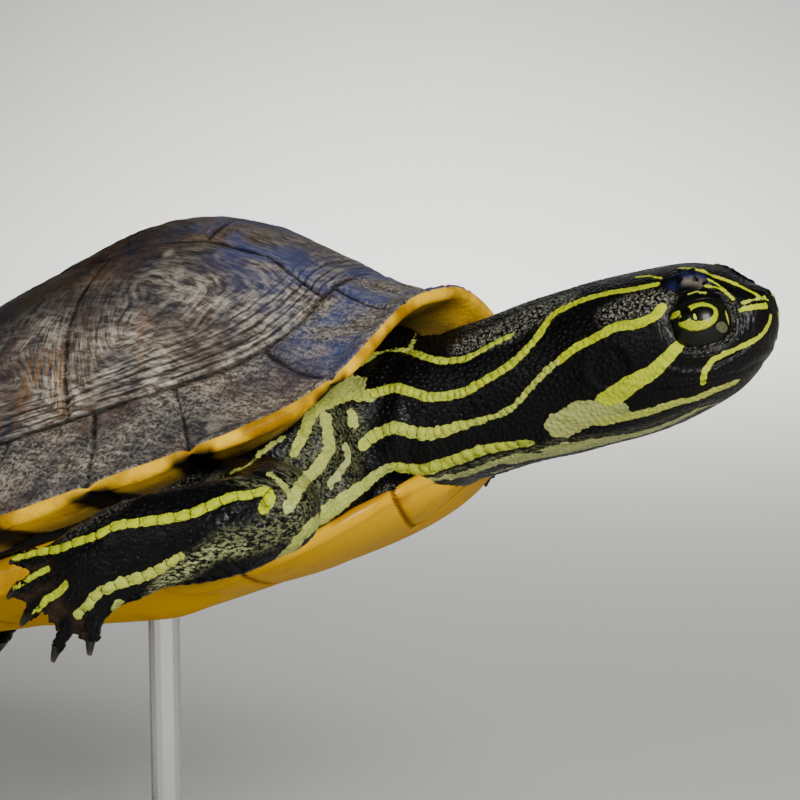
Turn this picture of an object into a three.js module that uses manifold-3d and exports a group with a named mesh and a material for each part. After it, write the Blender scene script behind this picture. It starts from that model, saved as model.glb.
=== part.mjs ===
// A life-size swimming cooter turtle on a plain display stand, in millimetres, +Z up.
// The origin is the centre of the underside of the stand's base, and the turtle looks along +X.
// The animal is modelled level in its shell's own frame: +X to the head, +Y to its left, +Z up,
// with the origin at mid-shell, at the height of the side rim. One group then pitches it nose-up.

import * as THREE from 'three';
import { mergeVertices } from 'three/addons/utils/BufferGeometryUtils.js';
import Module from 'manifold-3d';

const wasm = await Module();
wasm.setup();

// ---- Driving dimensions -------------------------------------------------------------------

const GAP = 0.3;                  // clearance between neighbouring solids
const PITCH_DEG = 23;             // the shell swims this much nose-up
const SHELL_HEIGHT = 104;         // from the floor to the shell's own origin

const SHELL_HALF_LENGTH = 100;
const SHELL_HALF_WIDTH = 74;
const SHELL_FRONT_TAPER = 0.1;    // the front half is narrower than the rear half
const OUTLINE_POWER = 2.3;        // 2 is an ellipse, more is squarer
const CROWN_X = 44;               // the dome's highest point lies ahead of the middle
const CROWN_Z = 43;
const FRONT_RIM_RISE = 13.1;      // the rim lifts over the neck
const FRONT_RIM_SPREAD = 27;
const REAR_RIM_RISE = 5;
const REAR_RIM_SPREAD = 35;
const SHELL_WALL = 5;
const RIM_EDGE = 2.4;             // thickness of the rim's rounded edge
const RIM_UNDERSIDE = 13;         // how far the rim plates fold in underneath
const RIM_DROP_SIDE = 3;          // and how far they fall on the way, at the sides
const RIM_DROP_FRONT = 0.8;       // and over the neck

const PLASTRON_FRONT_X = 94.5;
const PLASTRON_REAR_X = -88;
const PLASTRON_LEVEL = -25.8;     // lowest line of the belly shell
const PLASTRON_RISE = 11.5;        // how much higher it lies behind
const PLASTRON_RISE_XS = [62, -10];
const PLASTRON_TIP_X = 62;        // from here its front end turns up
const PLASTRON_TIP_RISE = 5.4;
const PLASTRON_WALL = 6;
const BRIDGE_WING_Y = 30;         // from here the bridges climb to the rim plates
const PLASTRON_CURL = 3.6;        // the lobes' edges turn up by this much
const LOBE_THINNING = 4;          // and are thinner than the plate by this much
const FRONT_LOBE_HALF = 36;
const HIND_LOBE_HALF = 38;
const LEG_NOTCH_FRONT_X = 53;     // where the bridge begins behind the forelegs
const LEG_NOTCH_REAR_X = -44;     // and where it ends ahead of the hind legs
const LEG_NOTCH_RADIUS = 6;

const NECK_END_X = 121;
const NECK_JOIN_XS = [95.5, 108];
const EYE_RADIUS = 5;
const EYE_CENTRE = new THREE.Vector3(145, 7, -9);

const BASE_LENGTH = 170;
const BASE_WIDTH = 120;
const BASE_THICKNESS = 10;
const BASE_CORNER = 14;
const BASE_EDGE = 1.2;
const ROD_DIAMETER = 6;
const ROD_SIDES = 16;
const ROD_BITE = 2.5;             // blank left to be cut to the belly's curve
const ROD_XS = { stand_rod_front: 28, stand_rod_rear: -36 };

const SHELL_SIDES = 40;
const LIMB_SIDES = 10;
const BODY_SIDES = 18;
const CLAW_SIDES = 5;

const COLOURS = {
  shell: { color: 0x3b3a3f, roughness: 0.45, metalness: 0 },
  plastron: { color: 0xd9952b, roughness: 0.35, metalness: 0 },
  skin: { color: 0x171a14, roughness: 0.4, metalness: 0 },
  throat: { color: 0xb7b676, roughness: 0.4, metalness: 0 },
  eye: { color: 0xb5c23c, roughness: 0.08, metalness: 0 },
  claw: { color: 0x2a241c, roughness: 0.3, metalness: 0 },
  base: { color: 0x22201e, roughness: 0.35, metalness: 0 },
  rod: { color: 0xb9bcc0, roughness: 0.25, metalness: 1 },
};

// ---- Small helpers ------------------------------------------------------------------------

const clamp01 = (t) => Math.min(1, Math.max(0, t));
const lerp = (a, b, t) => a + (b - a) * t;
const signedPower = (value, power) => Math.sign(value) * Math.abs(value) ** power;
const degrees = (angle) => angle * Math.PI / 180;
const range = (count) => Array.from({ length: count }, (_, i) => i);

function smoothstep(from, to, value) {
  const t = clamp01((value - from) / (to - from));
  return t * t * (3 - 2 * t);
}

// Rings of equal length, bridged into one closed body with a fan over each end.
function bridgeRings(rings) {
  const positions = [];
  const indices = [];
  const sides = rings[0].length;
  rings.flat().forEach((p) => positions.push(p.x, p.y, p.z));
  for (const k of range(rings.length - 1)) {
    for (const i of range(sides)) {
      const a = k * sides + i;
      const b = k * sides + (i + 1) % sides;
      indices.push(a, b, b + sides, a, b + sides, a + sides);
    }
  }
  [0, rings.length - 1].forEach((k) => {
    const centre = new THREE.Vector3();
    rings[k].forEach((p) => centre.addScaledVector(p, 1 / sides));
    const tip = positions.length / 3;
    positions.push(centre.x, centre.y, centre.z);
    for (const i of range(sides)) {
      const a = k * sides + i;
      const b = k * sides + (i + 1) % sides;
      if (k === 0) indices.push(tip, b, a);
      else indices.push(tip, a, b);
    }
  });
  return closedGeometry(positions, indices);
}

// Turns the faces outwards if the rings ran the other way round.
function closedGeometry(positions, indices) {
  let volume = 0;
  const corner = (k) => new THREE.Vector3().fromArray(positions, 3 * indices[k]);
  for (let k = 0; k < indices.length; k += 3) {
    volume += corner(k).dot(corner(k + 1).cross(corner(k + 2)));
  }
  const turned = volume < 0 ? indices.slice().reverse() : indices;
  const geometry = new THREE.BufferGeometry();
  geometry.setAttribute('position', new THREE.Float32BufferAttribute(positions, 3));
  geometry.setIndex(turned);
  return geometry;
}

function solidOf(geometry) {
  const bare = geometry.clone();
  bare.deleteAttribute('normal');
  bare.deleteAttribute('uv');
  const merged = mergeVertices(bare, 1e-4);
  return new wasm.Manifold(new wasm.Mesh({
    numProp: 3,
    vertProperties: new Float32Array(merged.attributes.position.array),
    triVerts: new Uint32Array(merged.index.array),
  }));
}

function geometryOf(solid) {
  const mesh = solid.getMesh();
  const geometry = new THREE.BufferGeometry();
  geometry.setAttribute('position', new THREE.BufferAttribute(mesh.vertProperties, 3));
  geometry.setIndex(new THREE.BufferAttribute(mesh.triVerts, 1));
  return geometry;
}

function meshOf(name, solid, colour) {
  const mesh = new THREE.Mesh(geometryOf(solid), new THREE.MeshStandardMaterial(COLOURS[colour]));
  mesh.name = name;
  return mesh;
}

function boxBetween(low, high) {
  const size = new THREE.Vector3().subVectors(high, low);
  const centre = new THREE.Vector3().addVectors(low, high).multiplyScalar(0.5);
  const geometry = new THREE.BoxGeometry(size.x, size.y, size.z);
  return solidOf(geometry.translate(centre.x, centre.y, centre.z));
}

// The largest of the separate pieces that a cut leaves.
function largestPiece(solid) {
  const pieces = solid.decompose();
  return pieces.reduce((best, piece) => (piece.volume() > best.volume() ? piece : best));
}

// Everything between two planes across the body.
function slice(fromX, toX) {
  return boxBetween(new THREE.Vector3(fromX, -200, -200), new THREE.Vector3(toX, 200, 200));
}

// A body along X from stations of { x, half, top, bottom }, with squared oval sections.
function loftAlongX(stations, sides = BODY_SIDES, power = 2.2) {
  const rings = stations.map(({ x, half, top, bottom }) => range(sides).map((i) => {
    const angle = 2 * Math.PI * i / sides;
    const y = half * signedPower(Math.cos(angle), 2 / power);
    const lift = signedPower(Math.sin(angle), 2 / power);
    return new THREE.Vector3(x, y, (top + bottom) / 2 + lift * (top - bottom) / 2);
  }));
  return solidOf(bridgeRings(rings));
}

// A limb along a smooth path. Each station is { at, wide, deep }: wide is half the
// section's height across the limb's plane, and deep half its thickness.
function loftLimb(stations, edge = new THREE.Vector3(0, 0, 1), steps = 6) {
  const path = new THREE.CatmullRomCurve3(stations.map((s) => s.at), false, 'centripetal');
  const last = stations.length - 1;
  const rings = range(steps + 1).map((k) => {
    const t = k / steps;
    const centre = path.getPoint(t);
    const tangent = path.getTangent(t);
    const thickness = new THREE.Vector3().crossVectors(edge, tangent).normalize();
    const width = new THREE.Vector3().crossVectors(tangent, thickness);
    const j = Math.min(last - 1, Math.floor(t * last));
    const f = smoothstep(0, 1, t * last - j);
    const wide = lerp(stations[j].wide, stations[j + 1].wide, f);
    const deep = lerp(stations[j].deep, stations[j + 1].deep, f);
    return range(LIMB_SIDES).map((i) => {
      const angle = 2 * Math.PI * i / LIMB_SIDES;
      return centre.clone()
        .addScaledVector(width, wide * Math.sin(angle))
        .addScaledVector(thickness, deep * Math.cos(angle));
    });
  });
  return solidOf(bridgeRings(rings));
}

// ---- The carapace -------------------------------------------------------------------------

const rimHeight = (y, forward) => (forward
  ? FRONT_RIM_RISE * Math.exp(-((Math.abs(y) / FRONT_RIM_SPREAD) ** 2.6))
  : REAR_RIM_RISE * Math.exp(-((Math.abs(y) / REAR_RIM_SPREAD) ** 2)));

// Half the shell's width at a place along it.
function outlineHalfWidth(x) {
  const c = signedPower(x / SHELL_HALF_LENGTH, OUTLINE_POWER / 2);
  const s = Math.sqrt(Math.max(0, 1 - c * c));
  return SHELL_HALF_WIDTH * (1 - SHELL_FRONT_TAPER * c) * s ** (2 / OUTLINE_POWER);
}

function rimPoint(angle) {
  const c = Math.cos(angle);
  const s = Math.sin(angle);
  const x = SHELL_HALF_LENGTH * signedPower(c, 2 / OUTLINE_POWER);
  const width = SHELL_HALF_WIDTH * (1 - SHELL_FRONT_TAPER * c);
  const y = width * signedPower(s, 2 / OUTLINE_POWER);
  return new THREE.Vector3(x, y, rimHeight(y, c > 0));
}

// A point over the plan, at a share of the way from the crown to the rim.
function planPoint(angle, share, z) {
  const rim = rimPoint(angle);
  return new THREE.Vector3(lerp(CROWN_X, rim.x, share), rim.y * share, z);
}

// The front slope is hollow near the rim, the sides are round and the rear is long.
function domeHeight(angle, share) {
  const front = Math.max(0, Math.cos(angle)) ** 1.5;
  const rear = Math.max(0, -Math.cos(angle)) ** 1.5;
  const inner = 1.6 + 1.2 * front - 0.3 * rear;
  const outer = 0.85 + 1.4 * front - 0.2 * rear;
  const rim = rimPoint(angle).z;
  return rim + (CROWN_Z - rim) * (1 - share ** inner) ** outer;
}

const innerShare = (angle) => {
  const rim = rimPoint(angle);
  return 1 - RIM_UNDERSIDE / Math.hypot(rim.x - CROWN_X, rim.y);
};

const shellAngles = range(SHELL_SIDES).map((i) => 2 * Math.PI * i / SHELL_SIDES);

const rimDrop = (angle) => (
  lerp(RIM_DROP_SIDE, RIM_DROP_FRONT, Math.max(0, Math.cos(angle)) ** 1.5));

// The shell's inner skin, from the rim's underside up into the dome.
function innerRings(lowered, outermost) {
  const under = (share, depth) => shellAngles.map((a) => {
    const s = share === null ? innerShare(a) : share;
    return planPoint(a, s, rimPoint(a).z - RIM_EDGE - depth * rimDrop(a) - lowered);
  });
  const inside = (part) => shellAngles.map((a) => {
    const share = part * innerShare(a) * (1 - lowered / 60);
    return planPoint(a, share, domeHeight(a, share) - SHELL_WALL - lowered);
  });
  return [under(outermost, 0), under(null, 1), inside(0.97), inside(0.6), inside(0.1)];
}

function makeCarapace() {
  const shares = [0.05, 0.22, 0.38, 0.52, 0.65, 0.76, 0.86, 0.94, 0.993];
  const outside = shares.map((share) => (
    shellAngles.map((a) => planPoint(a, share, domeHeight(a, share)))));
  const edge = shellAngles.map((a) => planPoint(a, 1.0, rimPoint(a).z - RIM_EDGE / 2));
  return solidOf(bridgeRings([...outside, edge, ...innerRings(0, 0.985)]));
}

// All the space over the shell's inner skin, which cuts what fills the shell.
function makeCarapaceCutter() {
  const far = (z) => shellAngles.map((a) => planPoint(a, 1.25, z));
  const level = shellAngles.map((a) => (
    planPoint(a, 1.25, rimPoint(a).z - RIM_EDGE - GAP)));
  return solidOf(bridgeRings([far(90), level, ...innerRings(GAP, 0.985)]));
}

// ---- The plastron and its bridges ---------------------------------------------------------

function plastronHalfWidth(x) {
  const frontReach = PLASTRON_FRONT_X - LEG_NOTCH_FRONT_X;
  const rearReach = LEG_NOTCH_REAR_X - PLASTRON_REAR_X;
  const lobeShape = (t) => Math.sqrt(Math.max(0.0004, 1 - clamp01(t) ** 2.1));
  const front = FRONT_LOBE_HALF * lobeShape((x - LEG_NOTCH_FRONT_X) / frontReach);
  const hind = HIND_LOBE_HALF * lobeShape((LEG_NOTCH_REAR_X - x) / rearReach);
  return lerp(x > 0 ? front : hind, outlineHalfWidth(x) - RIM_UNDERSIDE - 0.4, bridgeShare(x));
}

const bridgeShare = (x) => (
  smoothstep(LEG_NOTCH_FRONT_X + LEG_NOTCH_RADIUS, LEG_NOTCH_FRONT_X - LEG_NOTCH_RADIUS, x)
  * smoothstep(LEG_NOTCH_REAR_X - LEG_NOTCH_RADIUS, LEG_NOTCH_REAR_X + LEG_NOTCH_RADIUS, x));

function plastronBottom(x, y) {
  const half = plastronHalfWidth(x);
  const towardsTip = clamp01((x - PLASTRON_TIP_X) / (PLASTRON_FRONT_X - PLASTRON_TIP_X));
  const tip = PLASTRON_TIP_RISE * towardsTip ** 2.2;
  const level = PLASTRON_LEVEL + PLASTRON_RISE * smoothstep(...PLASTRON_RISE_XS, x) + tip;
  const edge = PLASTRON_CURL * Math.min(1, Math.abs(y) / half) ** 3 * (1 - bridgeShare(x));
  const rimUnder = -RIM_EDGE - RIM_DROP_SIDE - GAP - PLASTRON_WALL;
  const wing = smoothstep(BRIDGE_WING_Y, half, Math.abs(y)) * bridgeShare(x);
  return lerp(level + edge, rimUnder, wing);
}

// The turned-up edges are thinner than the plate.
function plastronWall(x, y) {
  const share = Math.min(1, Math.abs(y) / plastronHalfWidth(x));
  return PLASTRON_WALL - LOBE_THINNING * share ** 3 * (1 - bridgeShare(x));
}

const plastronTop = (x, y) => plastronBottom(x, y) + plastronWall(x, y);

function plastronStations(count) {
  const middle = (PLASTRON_FRONT_X + PLASTRON_REAR_X) / 2;
  const reach = (PLASTRON_FRONT_X - PLASTRON_REAR_X) / 2;
  return range(count).map((k) => middle - reach * Math.cos(Math.PI * (k + 0.35) / (count - 0.3)));
}

// The plastron's stations and, at each, where its faces have their corners.
const PLASTRON_XS = plastronStations(19);
const plastronShares = (half) => (
  range(11).map((k) => (-1 + 2 * k / 10) * (1 - 1.2 / Math.max(4, half))));

function makePlastron() {
  const rings = PLASTRON_XS.map((x) => {
    const half = plastronHalfWidth(x);
    const across = plastronShares(half);
    const side = (share, height) => {
      const y = half * share;
      return new THREE.Vector3(x, y, height(x, y));
    };
    const middle = (px, py) => plastronBottom(px, py) + plastronWall(px, py) / 2;
    return [
      ...across.map((share) => side(share, plastronBottom)), side(1, middle),
      ...across.slice().reverse().map((share) => side(share, plastronTop)), side(-1, middle),
    ];
  });
  return solidOf(bridgeRings(rings));
}

// All the space under the plastron's upper face. For what fills the shell it also reaches
// out past the plastron's edges; for a neck or leg it keeps to the plastron's own outline.
function makePlastronCutter(pastEdges) {
  const overhang = pastEdges ? 30 : GAP;
  const first = PLASTRON_XS[0];
  const last = PLASTRON_XS[PLASTRON_XS.length - 1];
  const rings = [first - overhang, ...PLASTRON_XS, last + overhang].map((x) => {
    const within = Math.min(last, Math.max(first, x));
    const half = plastronHalfWidth(within);
    const reach = pastEdges ? 84 : half + GAP;
    const ys = plastronShares(half).map((share) => share * half);
    const point = (y, nearest) => (
      new THREE.Vector3(x, y, plastronTop(within, nearest) + GAP));
    const edge = ys[ys.length - 1];
    return [
      new THREE.Vector3(x, reach, -70), point(reach, edge),
      ...ys.reverse().map((y) => point(y, y)), point(-reach, -edge),
      new THREE.Vector3(x, -reach, -70),
    ];
  });
  return solidOf(bridgeRings(rings));
}

// ---- Neck, head and trunk -----------------------------------------------------------------

function neckStations(grow) {
  return [
    { x: 71, half: 21, top: 4, bottom: -16 },
    { x: 80, half: 20.5, top: 6, bottom: -18 },
    { x: 88, half: 19, top: 6.4, bottom: -20.4 },
    { x: 95.5, half: 16, top: 5.6, bottom: -21.2 },
    { x: 102, half: 13.8, top: 5, bottom: -21.2 },
    { x: 108, half: 12.8, top: 4.9, bottom: -21.4 },
    { x: 115, half: 12.2, top: 4.8, bottom: -21.7 },
    { x: NECK_END_X, half: 12, top: 4.4, bottom: -22.1 },
  ].map(({ x, half, top, bottom }) => (
    { x, half: half + grow, top: top + grow, bottom: bottom - grow }));
}

const HEAD_STATIONS = [
  { x: NECK_END_X + GAP, half: 12, top: 4.4, bottom: -22.1 },
  { x: 127, half: 12.5, top: 3.9, bottom: -22.6 },
  { x: 133, half: 12.8, top: 3.1, bottom: -22.6 },
  { x: 139, half: 12.5, top: 2.1, bottom: -21.9 },
  { x: 144, half: 11.3, top: 0.9, bottom: -20.9 },
  { x: 148, half: 9.3, top: -1.3, bottom: -19 },
  { x: 151, half: 7, top: -4.5, bottom: -16.8 },
  { x: 153.2, half: 4.8, top: -6.2, bottom: -14.4 },
  { x: 154.6, half: 2.6, top: -7.6, bottom: -11.6 },
];

// The gape, from the corner of the mouth to the tip of the beak, seen from the side.
const MOUTH_LINE = [[135.5, -16.4], [142, -17.8], [148, -18.3], [151, -17.3], [160, -15]];

function jawBlock(lowered) {
  const outline = new THREE.Shape(MOUTH_LINE.map(([x, z]) => new THREE.Vector2(x, z - lowered)));
  outline.lineTo(160, -30);
  outline.lineTo(127 + lowered, -30);
  const block = new THREE.ExtrudeGeometry(outline, { depth: 60, bevelEnabled: false });
  return solidOf(block.rotateX(Math.PI / 2).translate(0, 30, 0));
}

function eyeBall(side, grow) {
  const ball = new THREE.SphereGeometry(EYE_RADIUS + grow, 12, 8);
  return solidOf(ball.translate(EYE_CENTRE.x, side * EYE_CENTRE.y, EYE_CENTRE.z));
}

const TRUNK_STATIONS = [
  { x: -93, half: 8, top: 10, bottom: -20 },
  { x: -86, half: 20, top: 30, bottom: -30 },
  { x: -74, half: 36, top: 50, bottom: -40 },
  { x: -58, half: 47, top: 60, bottom: -40 },
  { x: -40, half: 58, top: 60, bottom: -40 },
  { x: 40, half: 58, top: 60, bottom: -40 },
  { x: 58, half: 47, top: 60, bottom: -40 },
  { x: 70, half: 41, top: 50, bottom: -40 },
  { x: 79, half: 34, top: 40, bottom: -36 },
  { x: 86, half: 24, top: 20, bottom: -28 },
];

// ---- Legs, claws and tail -----------------------------------------------------------------

const at = (x, y, z) => new THREE.Vector3(x, y, z);

// Every limb is written for the turtle's right side, where y is negative.
const FORELEG = {
  upper: [
    { at: at(64, -33, -11.5), wide: 8, deep: 8.5 },
    { at: at(78, -42, -12.4), wide: 8, deep: 8.4 },
    { at: at(89, -51, -14), wide: 7, deep: 7.2 },
  ],
  forearm: [
    { at: at(89.4, -52.4, -14.2), wide: 6.9, deep: 6.4 },
    { at: at(82, -57.5, -14), wide: 7.4, deep: 5.8 },
    { at: at(74, -61.5, -12.4), wide: 7.4, deep: 5.2 },
    { at: at(67.4, -64.6, -12.6), wide: 7.4, deep: 4.6 },
  ],
  foot: [
    { at: at(66.9, -64.9, -12.8), wide: 7.2, deep: 4.2 },
    { at: at(62.3, -66.3, -13.4), wide: 8.6, deep: 3.3 },
    { at: at(57.5, -67.6, -14.6), wide: 9.6, deep: 2.3 },
    { at: at(52.9, -68.5, -15.9), wide: 5.4, deep: 1.3 },
  ],
};

const HINDLEG = {
  thigh: [
    { at: at(-56, -34, -10.5), wide: 8, deep: 9 },
    { at: at(-70, -44, -12.5), wide: 8.6, deep: 8.6 },
    { at: at(-83, -51, -14), wide: 7.8, deep: 7.4 },
  ],
  shin: [
    { at: at(-83.6, -51.3, -14.1), wide: 7.7, deep: 7.2 },
    { at: at(-94, -54.5, -15.8), wide: 7.3, deep: 6.2 },
    { at: at(-105, -56, -18), wide: 6.8, deep: 5 },
    { at: at(-112, -56.5, -19), wide: 7, deep: 4.2 },
  ],
  foot: [
    { at: at(-112.6, -56.6, -19.1), wide: 7.1, deep: 4.1 },
    { at: at(-121, -57.6, -20.6), wide: 9.4, deep: 3.2 },
    { at: at(-130, -59, -22), wide: 11.8, deep: 2.5 },
    { at: at(-135.5, -59.8, -23), wide: 12, deep: 1.5 },
  ],
};

// The claws fan out from the wrist or ankle in the plane of the foot. Each has its fan angle
// and how far from there it leaves its toe.
const FORE_CLAWS = {
  hub: at(67.5, -65.6, -12.4),
  axis: at(-0.716, -0.22, -0.66),
  fan: [[60, 14.6], [44, 15.7], [29.5, 15], [4.5, 14.4], [-15, 10.6]],
  length: 3.6,
  thick: 1.2,
};
const HIND_CLAWS = {
  hub: at(-110, -57.4, -19),
  axis: at(-0.98, -0.13, -0.16),
  fan: [[22, 25.6], [8, 26.4], [-7, 26.2], [-21, 25]],
  length: 4.2,
  thick: 1.2,
};

const acrossBody = (point, side) => at(point.x, side * point.y, point.z);
const onSide = (stations, side) => (
  stations.map((s) => ({ ...s, at: acrossBody(s.at, side) })));

function claw(set, [fanDegrees, reach], side, grow) {
  const axis = acrossBody(set.axis, side).normalize();
  const flat = at(0, 1, 0).addScaledVector(axis, -axis.y).normalize();
  const direction = axis.clone().applyAxisAngle(flat, degrees(fanDegrees));
  const hub = acrossBody(set.hub, side);
  const path = [0, 0.55, 1].map((t) => {
    const drop = 0.9 * t * t;
    const away = reach + set.length * t;
    return hub.clone().addScaledVector(direction, away).add(at(0, 0, -drop));
  });
  const curve = new THREE.CatmullRomCurve3(path);
  const rings = [0, 0.55, 1].map((t) => {
    const radius = lerp(set.thick, 0.25, t ** 1.4) + grow;
    const width = new THREE.Vector3().crossVectors(flat, curve.getTangent(t)).normalize();
    return range(CLAW_SIDES).map((i) => curve.getPoint(t)
      .addScaledVector(width, radius * Math.cos(2 * Math.PI * i / CLAW_SIDES))
      .addScaledVector(flat, radius * Math.sin(2 * Math.PI * i / CLAW_SIDES)));
  });
  return solidOf(bridgeRings(rings));
}

const LEFT_FOOT_RAISE_DEG = 20;

const TAIL = [
  { at: at(-84, 0, -5.5), wide: 3.4, deep: 6 },
  { at: at(-98, 0.6, -7), wide: 3.3, deep: 4.4 },
  { at: at(-110, 2, -10.5), wide: 2.6, deep: 3 },
  { at: at(-121, 4.6, -14), wide: 1.2, deep: 1.3 },
];

// ---- The display stand --------------------------------------------------------------------

function makeBase() {
  const halfX = BASE_LENGTH / 2 - BASE_EDGE;
  const halfY = BASE_WIDTH / 2 - BASE_EDGE;
  const outline = new THREE.Shape();
  const corners = [[1, 1, 0], [-1, 1, 90], [-1, -1, 180], [1, -1, 270]];
  corners.forEach(([sx, sy, start]) => {
    const x = sx * (halfX - BASE_CORNER);
    const y = sy * (halfY - BASE_CORNER);
    outline.absarc(x, y, BASE_CORNER, degrees(start), degrees(start + 90), false);
  });
  const plate = new THREE.ExtrudeGeometry(outline, {
    depth: BASE_THICKNESS - 2 * BASE_EDGE,
    bevelSize: BASE_EDGE,
    bevelThickness: BASE_EDGE,
    bevelSegments: 1,
    curveSegments: 4,
  });
  return solidOf(plate.translate(0, 0, BASE_EDGE));
}

// A rod stands on the base and ends just under the belly shell.
function makeRod(x, bellyInPlace) {
  const low = BASE_THICKNESS + GAP;
  const shellX = x * Math.cos(degrees(PITCH_DEG));
  const high = SHELL_HEIGHT + x * Math.tan(degrees(PITCH_DEG))
    + (plastronBottom(shellX, 0) + ROD_BITE) / Math.cos(degrees(PITCH_DEG));
  const rod = new THREE.CylinderGeometry(ROD_DIAMETER / 2, ROD_DIAMETER / 2, high - low, ROD_SIDES);
  rod.rotateX(Math.PI / 2).translate(x, 0, (high + low) / 2);
  return solidOf(rod).subtract(bellyInPlace.translate([0, 0, -GAP]));
}

// ---- Assembly -----------------------------------------------------------------------------

const turtle = new THREE.Group();
turtle.rotation.y = -degrees(PITCH_DEG);
turtle.position.z = SHELL_HEIGHT;

const carapace = makeCarapace();
const plastron = makePlastron();
const carapaceCutter = makeCarapaceCutter();
const plastronCutter = makePlastronCutter(false);
const insideShell = (solid) => {
  const rough = solid.subtract(carapaceCutter).subtract(plastronCutter);
  return largestPiece(rough);
};

turtle.add(meshOf('carapace', carapace, 'shell'));
turtle.add(meshOf('plastron', plastron, 'plastron'));

// The right forefoot hangs from its wrist and the left one trails straighter.
function raiseFoot(solid, side) {
  if (side > 0) return solid;
  const hub = acrossBody(FORE_CLAWS.hub, side);
  return solid.translate([-hub.x, -hub.y, -hub.z]).rotate([0, LEFT_FOOT_RAISE_DEG, 0])
    .translate([hub.x, hub.y, hub.z]);
}

// Limbs are lofted whole for each side, then the trunk is hollowed for them.
const trunkCutters = [loftAlongX(neckStations(GAP))];

function addClaws(name, set, side, foot, raise = (solid) => solid) {
  let trimmed = foot;
  set.fan.forEach((digit, k) => {
    turtle.add(meshOf(`${name}_claw_${k + 1}`, raise(claw(set, digit, side, 0)), 'claw'));
    trimmed = trimmed.subtract(raise(claw(set, digit, side, GAP)));
  });
  return trimmed;
}

const grown = (stations) => stations.map((s) => (
  { ...s, wide: s.wide + GAP, deep: s.deep + GAP }));

for (const [sideName, side] of [['right', 1], ['left', -1]]) {
  const root = loftLimb(onSide(FORELEG.upper, side));
  turtle.add(meshOf(`foreleg_upper_${sideName}`, insideShell(root), 'skin'));
  trunkCutters.push(loftLimb(onSide(grown(FORELEG.upper), side)));
  const forearm = loftLimb(onSide(FORELEG.forearm, side))
    .subtract(loftLimb(onSide(grown(FORELEG.upper), side)));
  turtle.add(meshOf(`foreleg_forearm_${sideName}`, insideShell(forearm), 'skin'));
  const flat = at(0.56, 0, -0.83);
  const raise = (solid) => raiseFoot(solid, side);
  const foot = raise(loftLimb(onSide(FORELEG.foot, side), flat))
    .subtract(loftLimb(onSide(grown(FORELEG.forearm), side)));
  const trimmed = addClaws(`foreleg_${sideName}`, FORE_CLAWS, side, foot, raise);
  turtle.add(meshOf(`foreleg_foot_${sideName}`, trimmed, 'skin'));

  const thigh = loftLimb(onSide(HINDLEG.thigh, side));
  turtle.add(meshOf(`hindleg_thigh_${sideName}`, insideShell(thigh), 'skin'));
  trunkCutters.push(loftLimb(onSide(grown(HINDLEG.thigh), side)));
  const shin = loftLimb(onSide(HINDLEG.shin, side))
    .subtract(loftLimb(onSide(grown(HINDLEG.thigh), side)));
  turtle.add(meshOf(`hindleg_shin_${sideName}`, insideShell(shin), 'skin'));
  const hindFoot = loftLimb(onSide(HINDLEG.foot, side))
    .subtract(loftLimb(onSide(grown(HINDLEG.shin), side)));
  const hindTrimmed = addClaws(`hindleg_${sideName}`, HIND_CLAWS, side, hindFoot);
  turtle.add(meshOf(`hindleg_foot_${sideName}`, hindTrimmed, 'skin'));
}

turtle.add(meshOf('tail', insideShell(loftLimb(TAIL)), 'skin'));
trunkCutters.push(loftLimb(grown(TAIL)));

const trunkBlank = insideShell(loftAlongX(TRUNK_STATIONS, BODY_SIDES, 3))
  .subtract(makePlastronCutter(true));
const trunk = trunkCutters.reduce((solid, cutter) => solid.subtract(cutter), trunkBlank);
turtle.add(meshOf('trunk', largestPiece(trunk), 'skin'));

const neck = insideShell(loftAlongX(neckStations(0)));
const neckNames = ['neck_base', 'neck_middle', 'neck_front'];
const neckEnds = [0, ...NECK_JOIN_XS, 200];
neckNames.forEach((name, k) => {
  const length = slice(neckEnds[k] + GAP / 2, neckEnds[k + 1] - GAP / 2);
  turtle.add(meshOf(name, neck.intersect(length), 'skin'));
});

const wholeHead = loftAlongX(HEAD_STATIONS)
  .subtract(eyeBall(1, GAP))
  .subtract(eyeBall(-1, GAP));
turtle.add(meshOf('head', wholeHead.subtract(jawBlock(0)), 'skin'));
turtle.add(meshOf('lower_jaw', wholeHead.intersect(jawBlock(GAP)), 'throat'));
turtle.add(meshOf('eye_left', eyeBall(1, 0), 'eye'));
turtle.add(meshOf('eye_right', eyeBall(-1, 0), 'eye'));

const model = new THREE.Group();
model.add(turtle);
turtle.updateMatrixWorld(true);
const bellyInPlace = solidOf(geometryOf(plastron).applyMatrix4(turtle.matrixWorld));
model.add(meshOf('stand_base', makeBase(), 'base'));
for (const [name, x] of Object.entries(ROD_XS)) {
  model.add(meshOf(name, makeRod(x, bellyInPlace), 'rod'));
}

export default model;
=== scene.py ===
"""A swimming cooter turtle on a plain display stand.

One soft skin stands for all the nodes of flesh, scales lie over it, and the shell, eyes and
claws are pieces of their own. Shapes are worked out in the shell's own frame, in millimetres:
+X to the head, +Y to the turtle's left, +Z up, with the origin at mid-shell at the side rim.
"""

import functools
import math

import bpy
import numpy as np
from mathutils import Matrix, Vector
from mathutils.bvhtree import BVHTree


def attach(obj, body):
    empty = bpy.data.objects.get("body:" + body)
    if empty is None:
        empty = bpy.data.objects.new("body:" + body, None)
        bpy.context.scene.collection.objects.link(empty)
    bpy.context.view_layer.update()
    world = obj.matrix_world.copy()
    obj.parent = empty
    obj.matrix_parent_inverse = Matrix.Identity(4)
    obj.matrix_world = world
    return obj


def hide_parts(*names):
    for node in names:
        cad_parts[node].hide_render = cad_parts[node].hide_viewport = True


bl_info = {
    "name": "Cooter turtle on a stand",
    "version": (1, 0, 0),
    "blender": (4, 5, 0),
    "location": "View3D > Sidebar > Turtle",
    "description": "Builds a swimming cooter turtle's skin, scales, shell, eyes, claws and stage",
    "category": "Object",
}

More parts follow.
